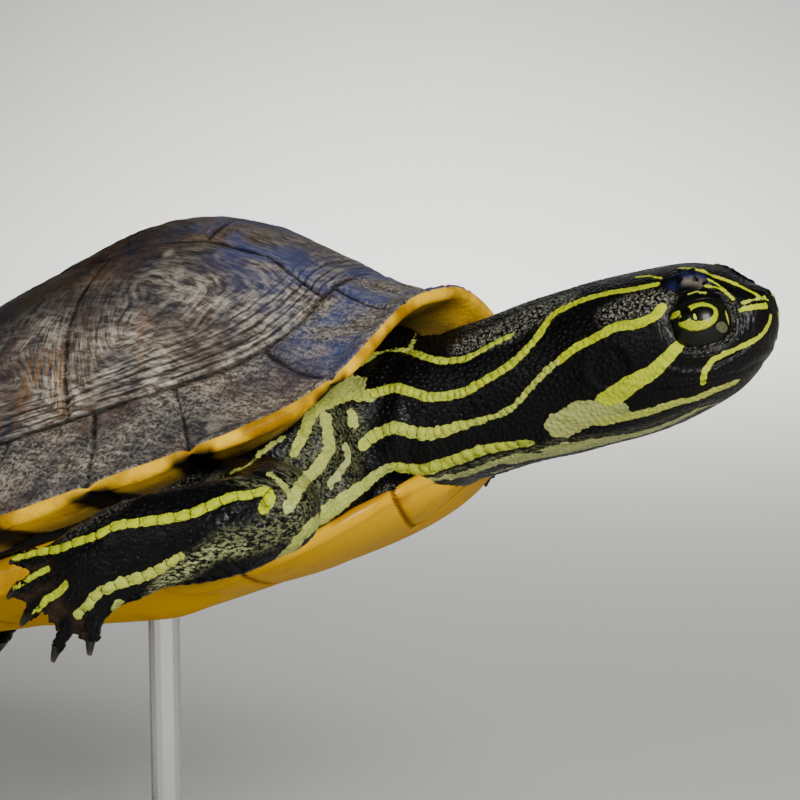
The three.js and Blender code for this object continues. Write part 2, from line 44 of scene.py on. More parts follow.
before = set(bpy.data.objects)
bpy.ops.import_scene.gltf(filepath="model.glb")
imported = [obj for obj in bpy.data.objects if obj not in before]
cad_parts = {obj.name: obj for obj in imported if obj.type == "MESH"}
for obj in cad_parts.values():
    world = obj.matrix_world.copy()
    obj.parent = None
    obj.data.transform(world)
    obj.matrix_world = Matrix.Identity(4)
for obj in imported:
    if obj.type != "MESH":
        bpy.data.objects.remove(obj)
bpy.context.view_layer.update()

# ---- The shell's own frame --------------------------------------------------------------------

PITCH = math.radians(23)
SHELL_HEIGHT = 104.0
SHELL_AXES = np.array([
    [math.cos(PITCH), 0, math.sin(PITCH)],
    [0, 1, 0],
    [-math.sin(PITCH), 0, math.cos(PITCH)],
])

CAMERA_TARGET = Vector((0.0828, -0.0059, 0.1360))
CAMERA_AZIMUTH = math.radians(30)       # round from the turtle's right side towards its head
CAMERA_ELEVATION = math.radians(9)
CAMERA_DISTANCE = 0.35
CAMERA_FOCAL_PIXELS = 2065              # in a frame of 800 x 800
FRAME_PIXELS = 800


def to_world(points):
    """Millimetres in the shell's frame to metres in the row's frame."""
    return (np.asarray(points, float) @ SHELL_AXES + (0, 0, SHELL_HEIGHT)) / 1000


def to_shell(points):
    """Metres in the row's frame to millimetres in the shell's frame."""
    return (np.asarray(points, float) * 1000 - (0, 0, SHELL_HEIGHT)) @ SHELL_AXES.T


# ---- Small helpers ----------------------------------------------------------------------------

def lerp(a, b, t):
    return a + (b - a) * t


def smoothstep(low, high, value):
    t = np.clip((value - low) / (high - low), 0, 1)
    return t * t * (3 - 2 * t)


def signed_power(value, power):
    return np.sign(value) * np.abs(value) ** power


def bump_at(value, centre, width):
    return np.exp(-((value - centre) / width) ** 2)


def distance(points, spot):
    return np.linalg.norm(points - np.asarray(spot), axis=-1)


def unit(vectors):
    length = np.linalg.norm(vectors, axis=-1, keepdims=True)
    return vectors / np.maximum(length, 1e-12)


def all_round(sides):
    """Even angles once round a ring."""
    return np.linspace(0, 2 * np.pi, sides, endpoint=False)


def way_along(line):
    """How far each point of a line lies along it."""
    return np.concatenate([[0], np.cumsum(distance(line[1:], line[:-1]))])


def lattice_noise(points, seed=0):
    """Smooth value noise in -1..1 at each point, one cell per unit."""
    cell = np.floor(points).astype(np.int64)
    local = points - cell
    ease = local * local * (3 - 2 * local)
    total = np.zeros(len(points))
    for corner in range(8):
        step = np.array([corner & 1, corner >> 1 & 1, corner >> 2 & 1])
        key = ((cell + step) * (73856093, 19349663, 83492791)).sum(1) + seed * 374761393
        key = (key ^ key >> 13) * 1274126177 & 0x7FFFFFFF
        value = (key ^ key >> 16) % 65536 / 32767.5 - 1
        total += value * np.where(step, ease, 1 - ease).prod(1)
    return total


def smooth_curve(points, count):
    """Points at even steps along a Catmull-Rom curve through the given ones."""
    p = np.asarray(points, float)
    p = np.vstack([2 * p[0] - p[1], p, 2 * p[-1] - p[-2]])
    t = np.linspace(0, len(p) - 3, count)
    k = np.minimum(t.astype(int), len(p) - 4)
    f = (t - k)[:, None]
    a, b, c, d = p[k], p[k + 1], p[k + 2], p[k + 3]
    return 0.5 * (2 * b + (c - a) * f + (2 * a - 5 * b + 4 * c - d) * f ** 2
                  + (3 * b - a - 3 * c + d) * f ** 3)


def deselect_all():
    if bpy.context.object and bpy.context.object.mode != "OBJECT":
        bpy.ops.object.mode_set(mode="OBJECT")
    bpy.ops.object.select_all(action="DESELECT")


def take_up(*objects):
    """Selects only these objects and makes the first one active."""
    deselect_all()
    for obj in objects:
        obj.select_set(True)
    bpy.context.view_layer.objects.active = objects[0]
    return objects[0]


def new_object(name, mesh):
    obj = bpy.data.objects.new(name, mesh)
    bpy.context.scene.collection.objects.link(obj)
    return obj


def mesh_object(name, points_mm, faces):
    """A new object from points in the shell's frame."""
    mesh = bpy.data.meshes.new(name)
    mesh.from_pydata(to_world(points_mm).tolist(), [], [tuple(int(i) for i in f) for f in faces])
    mesh.update()
    return new_object(name, mesh)


def triangle_object(name, points_mm, triangles):
    """The same for many thousands of triangles."""
    mesh = bpy.data.meshes.new(name)
    mesh.vertices.add(len(points_mm))
    mesh.vertices.foreach_set("co", to_world(points_mm).astype(np.float32).ravel())
    mesh.loops.add(3 * len(triangles))
    mesh.loops.foreach_set("vertex_index", np.asarray(triangles, np.int32).ravel())
    mesh.polygons.add(len(triangles))
    mesh.polygons.foreach_set("loop_start", np.arange(0, 3 * len(triangles), 3, dtype=np.int32))
    mesh.update(calc_edges=True)
    return new_object(name, mesh)


def read_all(items, name, width=1, kind=np.int32):
    """One property of all of a mesh's points, edges, corners or faces, a row for each."""
    flat = np.zeros(width * len(items), kind)
    items.foreach_get(name, flat)
    return flat if width == 1 else flat.reshape(-1, width)


def points_of(obj):
    return to_shell(read_all(obj.data.vertices, "co", 3, np.float32))


def set_points(obj, points_mm):
    obj.data.vertices.foreach_set("co", to_world(points_mm).astype(np.float32).ravel())
    obj.data.update()


def normals_of(obj):
    return read_all(obj.data.vertices, "normal", 3, np.float32) @ SHELL_AXES.T


def edges_of(obj):
    return read_all(obj.data.edges, "vertices", 2)


def set_values(obj, name, values):
    """A number for each point, which a material reads by its name."""
    layer = obj.data.attributes.get(name) or obj.data.attributes.new(name, "FLOAT", "POINT")
    layer.data.foreach_set("value", np.asarray(values, np.float32))


def relax(points, edges, weight, rounds, keep_volume=True):
    """Evens out a surface without shrinking it, as strongly as each point's weight says."""
    count = len(points)
    a, b = edges[:, 0], edges[:, 1]
    valence = np.maximum(1, np.bincount(a, minlength=count) + np.bincount(b, minlength=count))
    points = points.copy()
    for turn in range(2 * rounds if keep_volume else rounds):
        pull = -0.53 if keep_volume and turn % 2 else 0.5
        mean = np.stack([
            np.bincount(a, points[b, k], count) + np.bincount(b, points[a, k], count)
            for k in range(3)], 1) / valence[:, None]
        points += (mean - points) * (pull * weight)[:, None]
    return points


def apply_modifier(obj, kind, **settings):
    take_up(obj)
    modifier = obj.modifiers.new(kind.title(), kind)
    for name, value in settings.items():
        setattr(modifier, name, value)
    bpy.ops.object.modifier_apply(modifier=modifier.name)


def edit_faces(obj, chosen, operator, **settings):
    """Runs an edit-mode step on the chosen faces only."""
    take_up(obj)
    bpy.ops.object.mode_set(mode="EDIT")
    bpy.ops.mesh.select_mode(type="FACE")
    bpy.ops.mesh.select_all(action="DESELECT")
    bpy.ops.object.mode_set(mode="OBJECT")
    obj.data.polygons.foreach_set("select", chosen)
    bpy.ops.object.mode_set(mode="EDIT")
    operator(**settings)
    bpy.ops.object.mode_set(mode="OBJECT")


def edit_whole(obj, operator, **settings):
    """Runs an edit-mode step on the whole mesh."""
    take_up(obj)
    bpy.ops.object.mode_set(mode="EDIT")
    bpy.ops.mesh.select_all(action="SELECT")
    operator(**settings)
    bpy.ops.object.mode_set(mode="OBJECT")


def face_means(obj, values):
    """The mean over each face of a number held at its points."""
    faces = obj.data.polygons
    corners = values[read_all(obj.data.loops, "vertex_index")]
    return np.add.reduceat(corners, read_all(faces, "loop_start")) / read_all(faces, "loop_total")


def give_material(obj, material):
    obj.data.materials.clear()
    obj.data.materials.append(material)


def finish_piece(obj, material, replaced=()):
    """Shades a finished piece, gives it its material, and hangs it on the frame."""
    take_up(obj)
    bpy.ops.object.shade_smooth()
    give_material(obj, material)
    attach(obj, "root")
    if replaced:
        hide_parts(*replaced)


# ---- Material helpers -------------------------------------------------------------------------

def linear(hex_colour):
    """An sRGB hex colour as linear red, green, blue and alpha."""
    channels = [int(hex_colour[k:k + 2], 16) / 255 for k in (1, 3, 5)]
    return (*[c / 12.92 if c <= 0.04045 else ((c + 0.055) / 1.055) ** 2.4 for c in channels], 1.0)


def add_node(tree, kind, inputs=(), out=0, stops=(), **settings):
    """Adds one node with its settings, links or sets its inputs, and gives one of its outputs.
    A kind may come with settings of its own."""
    if not isinstance(kind, str):
        kind, out, common = kind
        settings = {**common, **settings}
    node = tree.nodes.new("ShaderNode" + kind)
    for name, value in settings.items():
        setattr(node, name, value)
    for key, value in inputs.items() if isinstance(inputs, dict) else enumerate(inputs):
        if isinstance(value, bpy.types.NodeSocket):
            tree.links.new(value, node.inputs[key])
        else:
            node.inputs[key].default_value = value
    for k, (place, colour) in enumerate(stops):
        stop = node.color_ramp.elements[k] if k < 2 else node.color_ramp.elements.new(place)
        stop.position, stop.color = place, colour
    return node.outputs[out] if node.outputs else None


def new_material(name):
    """A bare material, and add_node ready to work on it."""
    material = bpy.data.materials.new(name)
    material.use_nodes = True
    material.node_tree.nodes.clear()
    return material, functools.partial(add_node, material.node_tree)


# Kinds of node with the output and settings that they have here.
PRODUCT, SUM, BOTH, SINE, FRACT, ABSOLUTE = (("Math", 0, {"operation": name}) for name in (
    "MULTIPLY", "ADD", "MULTIPLY_ADD", "SINE", "FRACT", "ABSOLUTE"))
EASED = ("MapRange", 0, {"interpolation_type": "SMOOTHSTEP"})
BLEND = ("Mix", 2, {"data_type": "RGBA"})
FROM_MESH = ("Attribute", "Fac", {})
PLACE = ("TexCoord", "Object", {})


# ---- Settings ---------------------------------------------------------------------------------

def colour_property(name, hex_colour, description):
    return bpy.props.FloatVectorProperty(
        name=name, description=description, subtype="COLOR", size=4, min=0, max=1,
        default=linear(hex_colour))


class TURTLE_PG_skin(bpy.types.PropertyGroup):
    black: colour_property("Skin black", "#050505", "The skin's ground colour")
    speckle: colour_property("Speckle", "#34342e", "Worn grey tips of the pebbled skin")
    stripe: colour_property("Stripe", "#969f0a", "The bright stripes on head, neck and legs")
    throat: colour_property("Throat", "#84875c", "The paler stripes and bands underneath")
    # The grey grains stand partly for real grains and partly for painted glints of the wet skin.
    grain: colour_property("Grain", "#8f8c7c", "Grey grains of the pebbled skin")
    web: colour_property("Web", "#281d0d", "The thin skin between the toes")
    beak: colour_property("Beak", "#0c0a09", "The horn along the jaws")
    voxel: bpy.props.FloatProperty(
        name="Skin grain", description="Size of the skin's mesh before it is refined",
        default=0.0012, min=0.0006, max=0.003, unit="LENGTH")
    scale_spacing: bpy.props.FloatProperty(
        name="Scale spacing", description="Distance between scales on the legs",
        default=0.0015, min=0.001, max=0.004, unit="LENGTH")
    coat_depth: bpy.props.FloatProperty(
        name="Coat depth", description="How far the skin lies under the scales' tops",
        default=0.0003, min=0, max=0.001, unit="LENGTH")


class TURTLE_PG_shell(bpy.types.PropertyGroup):
    horn: colour_property("Shell horn", "#1d1b1a", "Dark ground of the carapace")
    streak: colour_property("Streak", "#aea596", "Worn beige streaks on the carapace")
    bars: colour_property("Bars", "#7a521c", "Faint amber bars on the carapace")
    amber: colour_property("Amber", "#d4a50c", "Belly shell and the rim's underside")
    seam_depth: bpy.props.FloatProperty(
        name="Seam depth", description="Depth of the grooves between shell plates",
        default=0.00055, min=0, max=0.002, unit="LENGTH")
    seam_width: bpy.props.FloatProperty(
        name="Seam width", description="Half the width of those grooves",
        default=0.00045, min=0.0002, max=0.002, unit="LENGTH")


class TURTLE_PG_stage(bpy.types.PropertyGroup):
    floor: colour_property("Floor", "#d2d1cd", "The pale floor and backdrop")
    base: colour_property("Base", "#1d1d1f", "The stand's base")
    key_power: bpy.props.FloatProperty(
        name="Key light", description="Power of the main softbox", default=18.0, min=0,
        unit="POWER")
    fill_power: bpy.props.FloatProperty(
        name="Fill light", description="Power of the fill softbox", default=3.0, min=0,
        unit="POWER")


# ---- Forms of neck, head, legs and tail -------------------------------------------------------

# Along the neck and head: place, half width, top and bottom.
NECK_AND_HEAD = [
    (71, 21, 4, -16), (80, 20.5, 6, -18), (88, 19, 6.4, -19.4), (95.5, 16, 5.6, -20.1),
    (102, 13.8, 5, -20.3), (108, 12.8, 4.9, -20.8), (115, 12.2, 4.8, -21.7),
    (121, 12, 4.4, -22.1), (127, 12.5, 3.9, -22.6), (133, 12.8, 3.1, -22.6),
    (139, 12.5, 2.1, -21.9), (144, 11.3, 0.9, -20.9), (148, 9.3, -1.3, -19),
    (151, 7, -4.5, -16.8), (153.2, 4.8, -6.2, -14.4), (154.6, 2.6, -7.6, -11.6),
]
MOUTH_LINE = [(135.5, -16.4), (142, -17.8), (148, -18.3), (151, -17.3), (160, -15)]
EYE_CENTRE = np.array([145.0, -7.0, -9.0])
EYE_RADIUS = 5.0
GAZE = unit(np.array([0.50, -0.84, 0.20]))

# Each leg is given for the right side, where y is negative: place, half height, half thickness.
FORELEG_PARTS = [
    [((64, -33, -11.5), 8, 8.5), ((78, -42, -12.4), 8, 8.4), ((89, -51, -14), 7, 7.2)],
    [((89.4, -52.4, -14.2), 6.9, 6.4), ((82, -57.5, -14), 7.4, 5.8),
     ((74, -61.5, -12.4), 7.4, 5.2), ((67.4, -64.6, -12.6), 7.4, 4.6)],
]
FOREFOOT = [((68.4, -64.3, -12.3), 6.9, 4.3), ((64.4, -65.7, -13), 7.4, 3.5),
            ((60.6, -66.8, -13.9), 7.4, 2.5), ((57.6, -67.6, -14.7), 6.2, 1.3)]
HINDLEG_PARTS = [
    [((-56, -34, -10.5), 8, 9), ((-70, -44, -12.5), 8.6, 8.6), ((-83, -51, -14), 7.8, 7.4)],
    [((-83.6, -51.3, -14.1), 7.7, 7.2), ((-94, -54.5, -15.8), 7.3, 6.2),
     ((-105, -56, -18), 6.8, 5), ((-112, -56.5, -19), 6.8, 4.2)],
]
HINDFOOT = [((-110, -56.4, -18.8), 6.4, 4.1), ((-119, -57.4, -20.3), 7.4, 3),
            ((-126, -58.4, -21.4), 7.6, 1.9), ((-130, -59, -22), 7, 1.1)]
TAIL_PARTS = [[((-80, 0, -5), 3.6, 7), ((-98, 0.6, -7), 3.3, 4.4),
               ((-110, 2, -10.5), 2.6, 3), ((-121, 4.6, -14), 1.1, 1.2)]]

# Digits fan out from the wrist or ankle: fan angle in degrees and reach to the claw.
FORE_DIGITS = {
    "hub": (67.5, -65.6, -12.4), "axis": (-0.716, -0.22, -0.66), "toe": 1.66, "web": 1.12,
    "fan": [(60, 14.6), (44, 15.7), (29.5, 15), (4.5, 14.4), (-15, 10.6)],
    "claw": 3.6, "thick": 1.0,
}
HIND_DIGITS = {
    "hub": (-110, -57.4, -19), "axis": (-0.98, -0.13, -0.16), "toe": 1.75, "web": 1.07,
    "fan": [(22, 25.6), (8, 26.4), (-7, 26.2), (-21, 25)], "claw": 4.2, "thick": 0.95,
}
WEB_HALF_THICKNESS = 0.75
LEFT_FOOT_RAISE = math.radians(20)      # the left forefoot trails straighter than the right


def turned(vector, axis, angle):
    """A vector turned about a unit axis."""
    v, k = np.asarray(vector, float), np.asarray(axis, float)
    return (v * math.cos(angle) + np.cross(k, v) * math.sin(angle)
            + k * (k @ v) * (1 - math.cos(angle)))


def digit_frame(digits):
    """The fan's middle direction and the normal of the foot's plane."""
    axis = unit(np.array(digits["axis"], float))
    flat = np.array([0, 1.0, 0])
    flat = unit(flat - axis * axis[1])
    return np.array(digits["hub"], float), axis, flat


def toe_frame(digits, fan):
    """Where the toes fan out from, the way that one of them points, and the foot's normal."""
    hub, axis, flat = digit_frame(digits)
    return hub, turned(axis, flat, math.radians(fan)), flat


def raise_left_foot(points, back=False):
    """Turns points of the left forefoot up about its wrist, or back down again."""
    hub = np.array(FORE_DIGITS["hub"]) * (1, -1, 1)
    angle = -LEFT_FOOT_RAISE if back else LEFT_FOOT_RAISE
    p = points - hub
    x = p[:, 0] * math.cos(angle) + p[:, 2] * math.sin(angle)
    z = -p[:, 0] * math.sin(angle) + p[:, 2] * math.cos(angle)
    return np.stack([x, p[:, 1], z], 1) + hub


def ringed_object(name, rings, mirror=False):
    """A closed body over rings of points, with a fan over each end."""
    rings = np.asarray(rings, float)
    count, sides = rings.shape[:2]
    points = np.vstack([rings.reshape(-1, 3), rings[0].mean(0), rings[-1].mean(0)])
    i = np.arange(sides)
    j = (i + 1) % sides
    start = sides * np.arange(count - 1)[:, None, None]
    faces = (start + np.stack([i, j, j + sides, i + sides], 1)).reshape(-1, 4).tolist()
    first, last, end = count * sides, count * sides + 1, (count - 1) * sides
    for a, b in zip(i.tolist(), j.tolist()):
        faces += [(first, b, a), (last, end + a, end + b)]
    if mirror:
        points = points * (1, -1, 1)
    obj = mesh_object(name, points, faces)
    edit_whole(obj, bpy.ops.mesh.normals_make_consistent, inside=False)
    return obj


def neck_rings(steps=120, sides=48, power=2.2):
    """Squared oval rings along the neck and head."""
    stations = smooth_curve(NECK_AND_HEAD, steps)
    angle = all_round(sides)
    across = signed_power(np.cos(angle), 2 / power)
    lift = signed_power(np.sin(angle), 2 / power)
    rings = []
    for x, half, top, bottom in stations:
        rings.append(np.stack([
            np.full(sides, x), half * across,
            (top + bottom) / 2 + lift * (top - bottom) / 2], 1))
    return np.array(rings)


def limb_rings(stations, steps=26, sides=28, edge=(0, 0, 1)):
    """Oval rings along one length of a limb."""
    table = np.array([[*at, wide, deep] for at, wide, deep in stations], float)
    row = smooth_curve(table, steps)
    centre = row[:, :3]
    tangent = unit(np.gradient(centre, axis=0))
    thickness = unit(np.cross(np.array(edge, float), tangent))
    width = np.cross(tangent, thickness)
    angle = all_round(sides)[None, :, None]
    return (centre[:, None] + width[:, None] * (row[:, 3, None, None] * np.sin(angle))
            + thickness[:, None] * (row[:, 4, None, None] * np.cos(angle)))


def digit_rings(digits, fan, reach):
    """One toe, from inside the palm to where the claw leaves it, with two low knuckles."""
    hub, direction, flat = toe_frame(digits, fan)
    across = np.cross(flat, direction)
    along = np.linspace(0.2, 1 + 2.7 / reach, 26)
    last = along[-1]
    angle = all_round(14)
    rings = []
    for t in along:
        radius = digits["toe"] * (1.08 - 0.22 * t + 0.08 * math.cos(2 * math.pi * t * 2.6))
        radius *= math.sqrt(max(0.4, 1 - smoothstep(last - 0.06, last + 0.02, t)))
        sag = 0.3 * smoothstep(0.85, last, t)
        centre = hub + direction * reach * t - np.array([0, 0, sag])
        rings.append(centre + radius * (np.outer(np.cos(angle), across)
                                        + 0.92 * np.outer(np.sin(angle), flat)))
    return rings


def web_rings(digits, one, other):
    """The thin skin between two toes, its free edge drawn in between them."""
    angle = all_round(20)
    rings = []
    for t in np.linspace(0, 1, 12):
        hub, direction, flat = toe_frame(digits, lerp(one[0], other[0], t))
        reach = lerp(one[1], other[1], t) * (digits["web"] - 0.14 * math.sin(math.pi * t))
        middle = hub + direction * reach / 2
        rings.append(middle + np.outer(np.cos(angle) * reach / 2, direction)
                     + np.outer(np.sin(angle) * WEB_HALF_THICKNESS, flat))
    return rings


def claw_rings(digits, fan, reach, sides=12, steps=14):
    """A claw: a tapered horn that bends down, a little flatter from top to bottom than across."""
    hub, direction, flat = toe_frame(digits, fan)
    across = unit(np.cross(flat, direction))
    angle = all_round(sides)
    rings = []
    for t in np.linspace(0.45, 1, steps):
        drop = 0.9 * t ** 2
        centre = hub + direction * (reach + digits["claw"] * t) - np.array([0, 0, drop])
        radius = digits["thick"] * (1 - 0.62 * t ** 2)
        ring = np.outer(np.cos(angle), across) + np.outer(np.sin(angle) * 0.92, flat)
        rings.append(centre + radius * ring)
    return rings


FLESH_NODES = (
    ["trunk", "neck_base", "neck_middle", "neck_front", "head", "lower_jaw", "tail"]
    + [f"{leg}_{part}_{side}" for side in ("right", "left")
       for leg, part in (("foreleg", "upper"), ("foreleg", "forearm"), ("foreleg", "foot"),
                         ("hindleg", "thigh"), ("hindleg", "shin"), ("hindleg", "foot"))])


def swollen_copy(node, grow):
    """A merged copy of a node's solid, grown so that it runs into its neighbours."""
    copy = new_object(node + "_copy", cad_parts[node].data.copy())
    edit_whole(copy, bpy.ops.mesh.remove_doubles, threshold=0.00002)
    set_points(copy, points_of(copy) + grow * normals_of(copy))
    return copy


def flesh_blanks():
    """Every length of flesh as a smooth closed body, each running into the next."""
    blanks = [ringed_object("neck_blank", neck_rings()), swollen_copy("trunk", 0.35)]
    edge = (0.56, 0, -0.83)
    for mirror in (False, True):
        for k, part in enumerate(FORELEG_PARTS + HINDLEG_PARTS):
            blanks.append(ringed_object(f"leg_blank_{k}", limb_rings(part), mirror))
        for digits, foot, hold in ((FORE_DIGITS, FOREFOOT, edge),
                                   (HIND_DIGITS, HINDFOOT, (0, 0, 1))):
            fan = digits["fan"]
            pieces = [ringed_object("palm", limb_rings(foot, edge=hold), mirror)]
            pieces += [ringed_object("toe", digit_rings(digits, *digit), mirror) for digit in fan]
            pieces += [ringed_object("web", web_rings(digits, fan[k], fan[k + 1]), mirror)
                       for k in range(len(fan) - 1)]
            if mirror and digits is FORE_DIGITS:
                for piece in pieces:
                    set_points(piece, raise_left_foot(points_of(piece)))
            blanks += pieces
    blanks.append(ringed_object("tail_blank", limb_rings(TAIL_PARTS[0])))
    for hinge, size in (((89.4, -51.8, -14.1), 7), ((-83.3, -51.2, -14), 7.6)):
        for side in (1, -1):
            place = to_world([(hinge[0], side * hinge[1], hinge[2])])[0]
            bpy.ops.mesh.primitive_uv_sphere_add(
                segments=24, ring_count=16, radius=size / 1000, location=place)
            blanks.append(bpy.context.object)
    return blanks


# ---- Where a point lies on the body -----------------------------------------------------------

SHEET_MM = 420.0                        # the skin is laid out flat on a sheet this wide
SCALE_PATCH = 0.0015                    # half a scale's width there, as a share of the sheet


def body_parts():
    """Each part's name, axis and radii, and where its unwrapped skin starts on the sheet."""
    neck = smooth_curve(NECK_AND_HEAD, 60)
    axis = np.stack([neck[:, 0], 0 * neck[:, 0], (neck[:, 2] + neck[:, 3]) / 2], 1)
    parts = [("neck", axis, np.maximum(neck[:, 1], 4), (190, 45))]
    places = {("foreleg", -1): (190, 118), ("foreleg", 1): (190, 168),
              ("hindleg", -1): (300, 30), ("hindleg", 1): (300, 80)}
    for side in (-1, 1):
        for name, lengths, foot in (("foreleg", FORELEG_PARTS, FOREFOOT),
                                    ("hindleg", HINDLEG_PARTS, HINDFOOT)):
            table = np.array([[*at, wide] for part in (*lengths, foot) for at, wide, _ in part])
            row = smooth_curve(table, 60)
            line = row[:, :3] * (1, -side, 1)
            if name == "foreleg" and side == 1:
                low = line[:, 0] < 68
                low[:30] = False
                line[low] = raise_left_foot(line[low])
            if name == "hindleg":
                line = np.vstack([line, line[-1] + (-8, 0, -1.5)])
                row = np.vstack([row, row[-1:]])
            parts.append((name + ("_left" if side == 1 else "_right"), line, row[:, 3],
                          places[name, side]))
    table = np.array([[*at, wide] for at, wide, _ in TAIL_PARTS[0]], float)
    row = smooth_curve(table, 20)
    parts.append(("tail", row[:, :3], np.maximum(row[:, 3], 2), (300, 125)))
    return parts


def locate(points):
    """For each point: its part's number (-1 is the trunk), and its place on the flat sheet.
    The sheet is an unwrap of the skin itself, each limb slit along its inner or upper side."""
    part_of = np.full(len(points), -1)
    best = np.full(len(points), 1.45)
    upper = points[:, 2] > -8
    sheet = np.stack([points[:, 0] + 95, points[:, 1] * 0.95 + np.where(upper, 65, 200)], 1)
    for number, (name, line, radii, start) in enumerate(body_parts()):
        reach = way_along(line)
        gap = distance(points[:, None], line) / radii[None]
        nearest = gap.argmin(1)
        share = gap.min(1)
        if name == "neck":
            share = np.where(points[:, 0] > 92, share * 0.5, share)
        won = share < best
        if not won.any():
            continue
        best[won], part_of[won] = share[won], number
        k = nearest[won]
        tangent = unit(np.gradient(line, axis=0))[k]
        across = unit(np.cross(tangent, (0, 0, -1.0 if name == "neck" else 1.0)))
        over = np.cross(across, tangent)
        offset = points[won] - line[k]
        turn = np.arctan2((offset * across).sum(1), (offset * over).sum(1))
        along = reach[k] + (offset * tangent).sum(1)
        sheet[won] = np.stack([start[0] + along, start[1] + turn * radii[k].mean()], 1)
    return part_of, sheet


def part_named(*names):
    return [k for k, part in enumerate(body_parts()) if part[0] in names]


# ---- Markings ---------------------------------------------------------------------------------

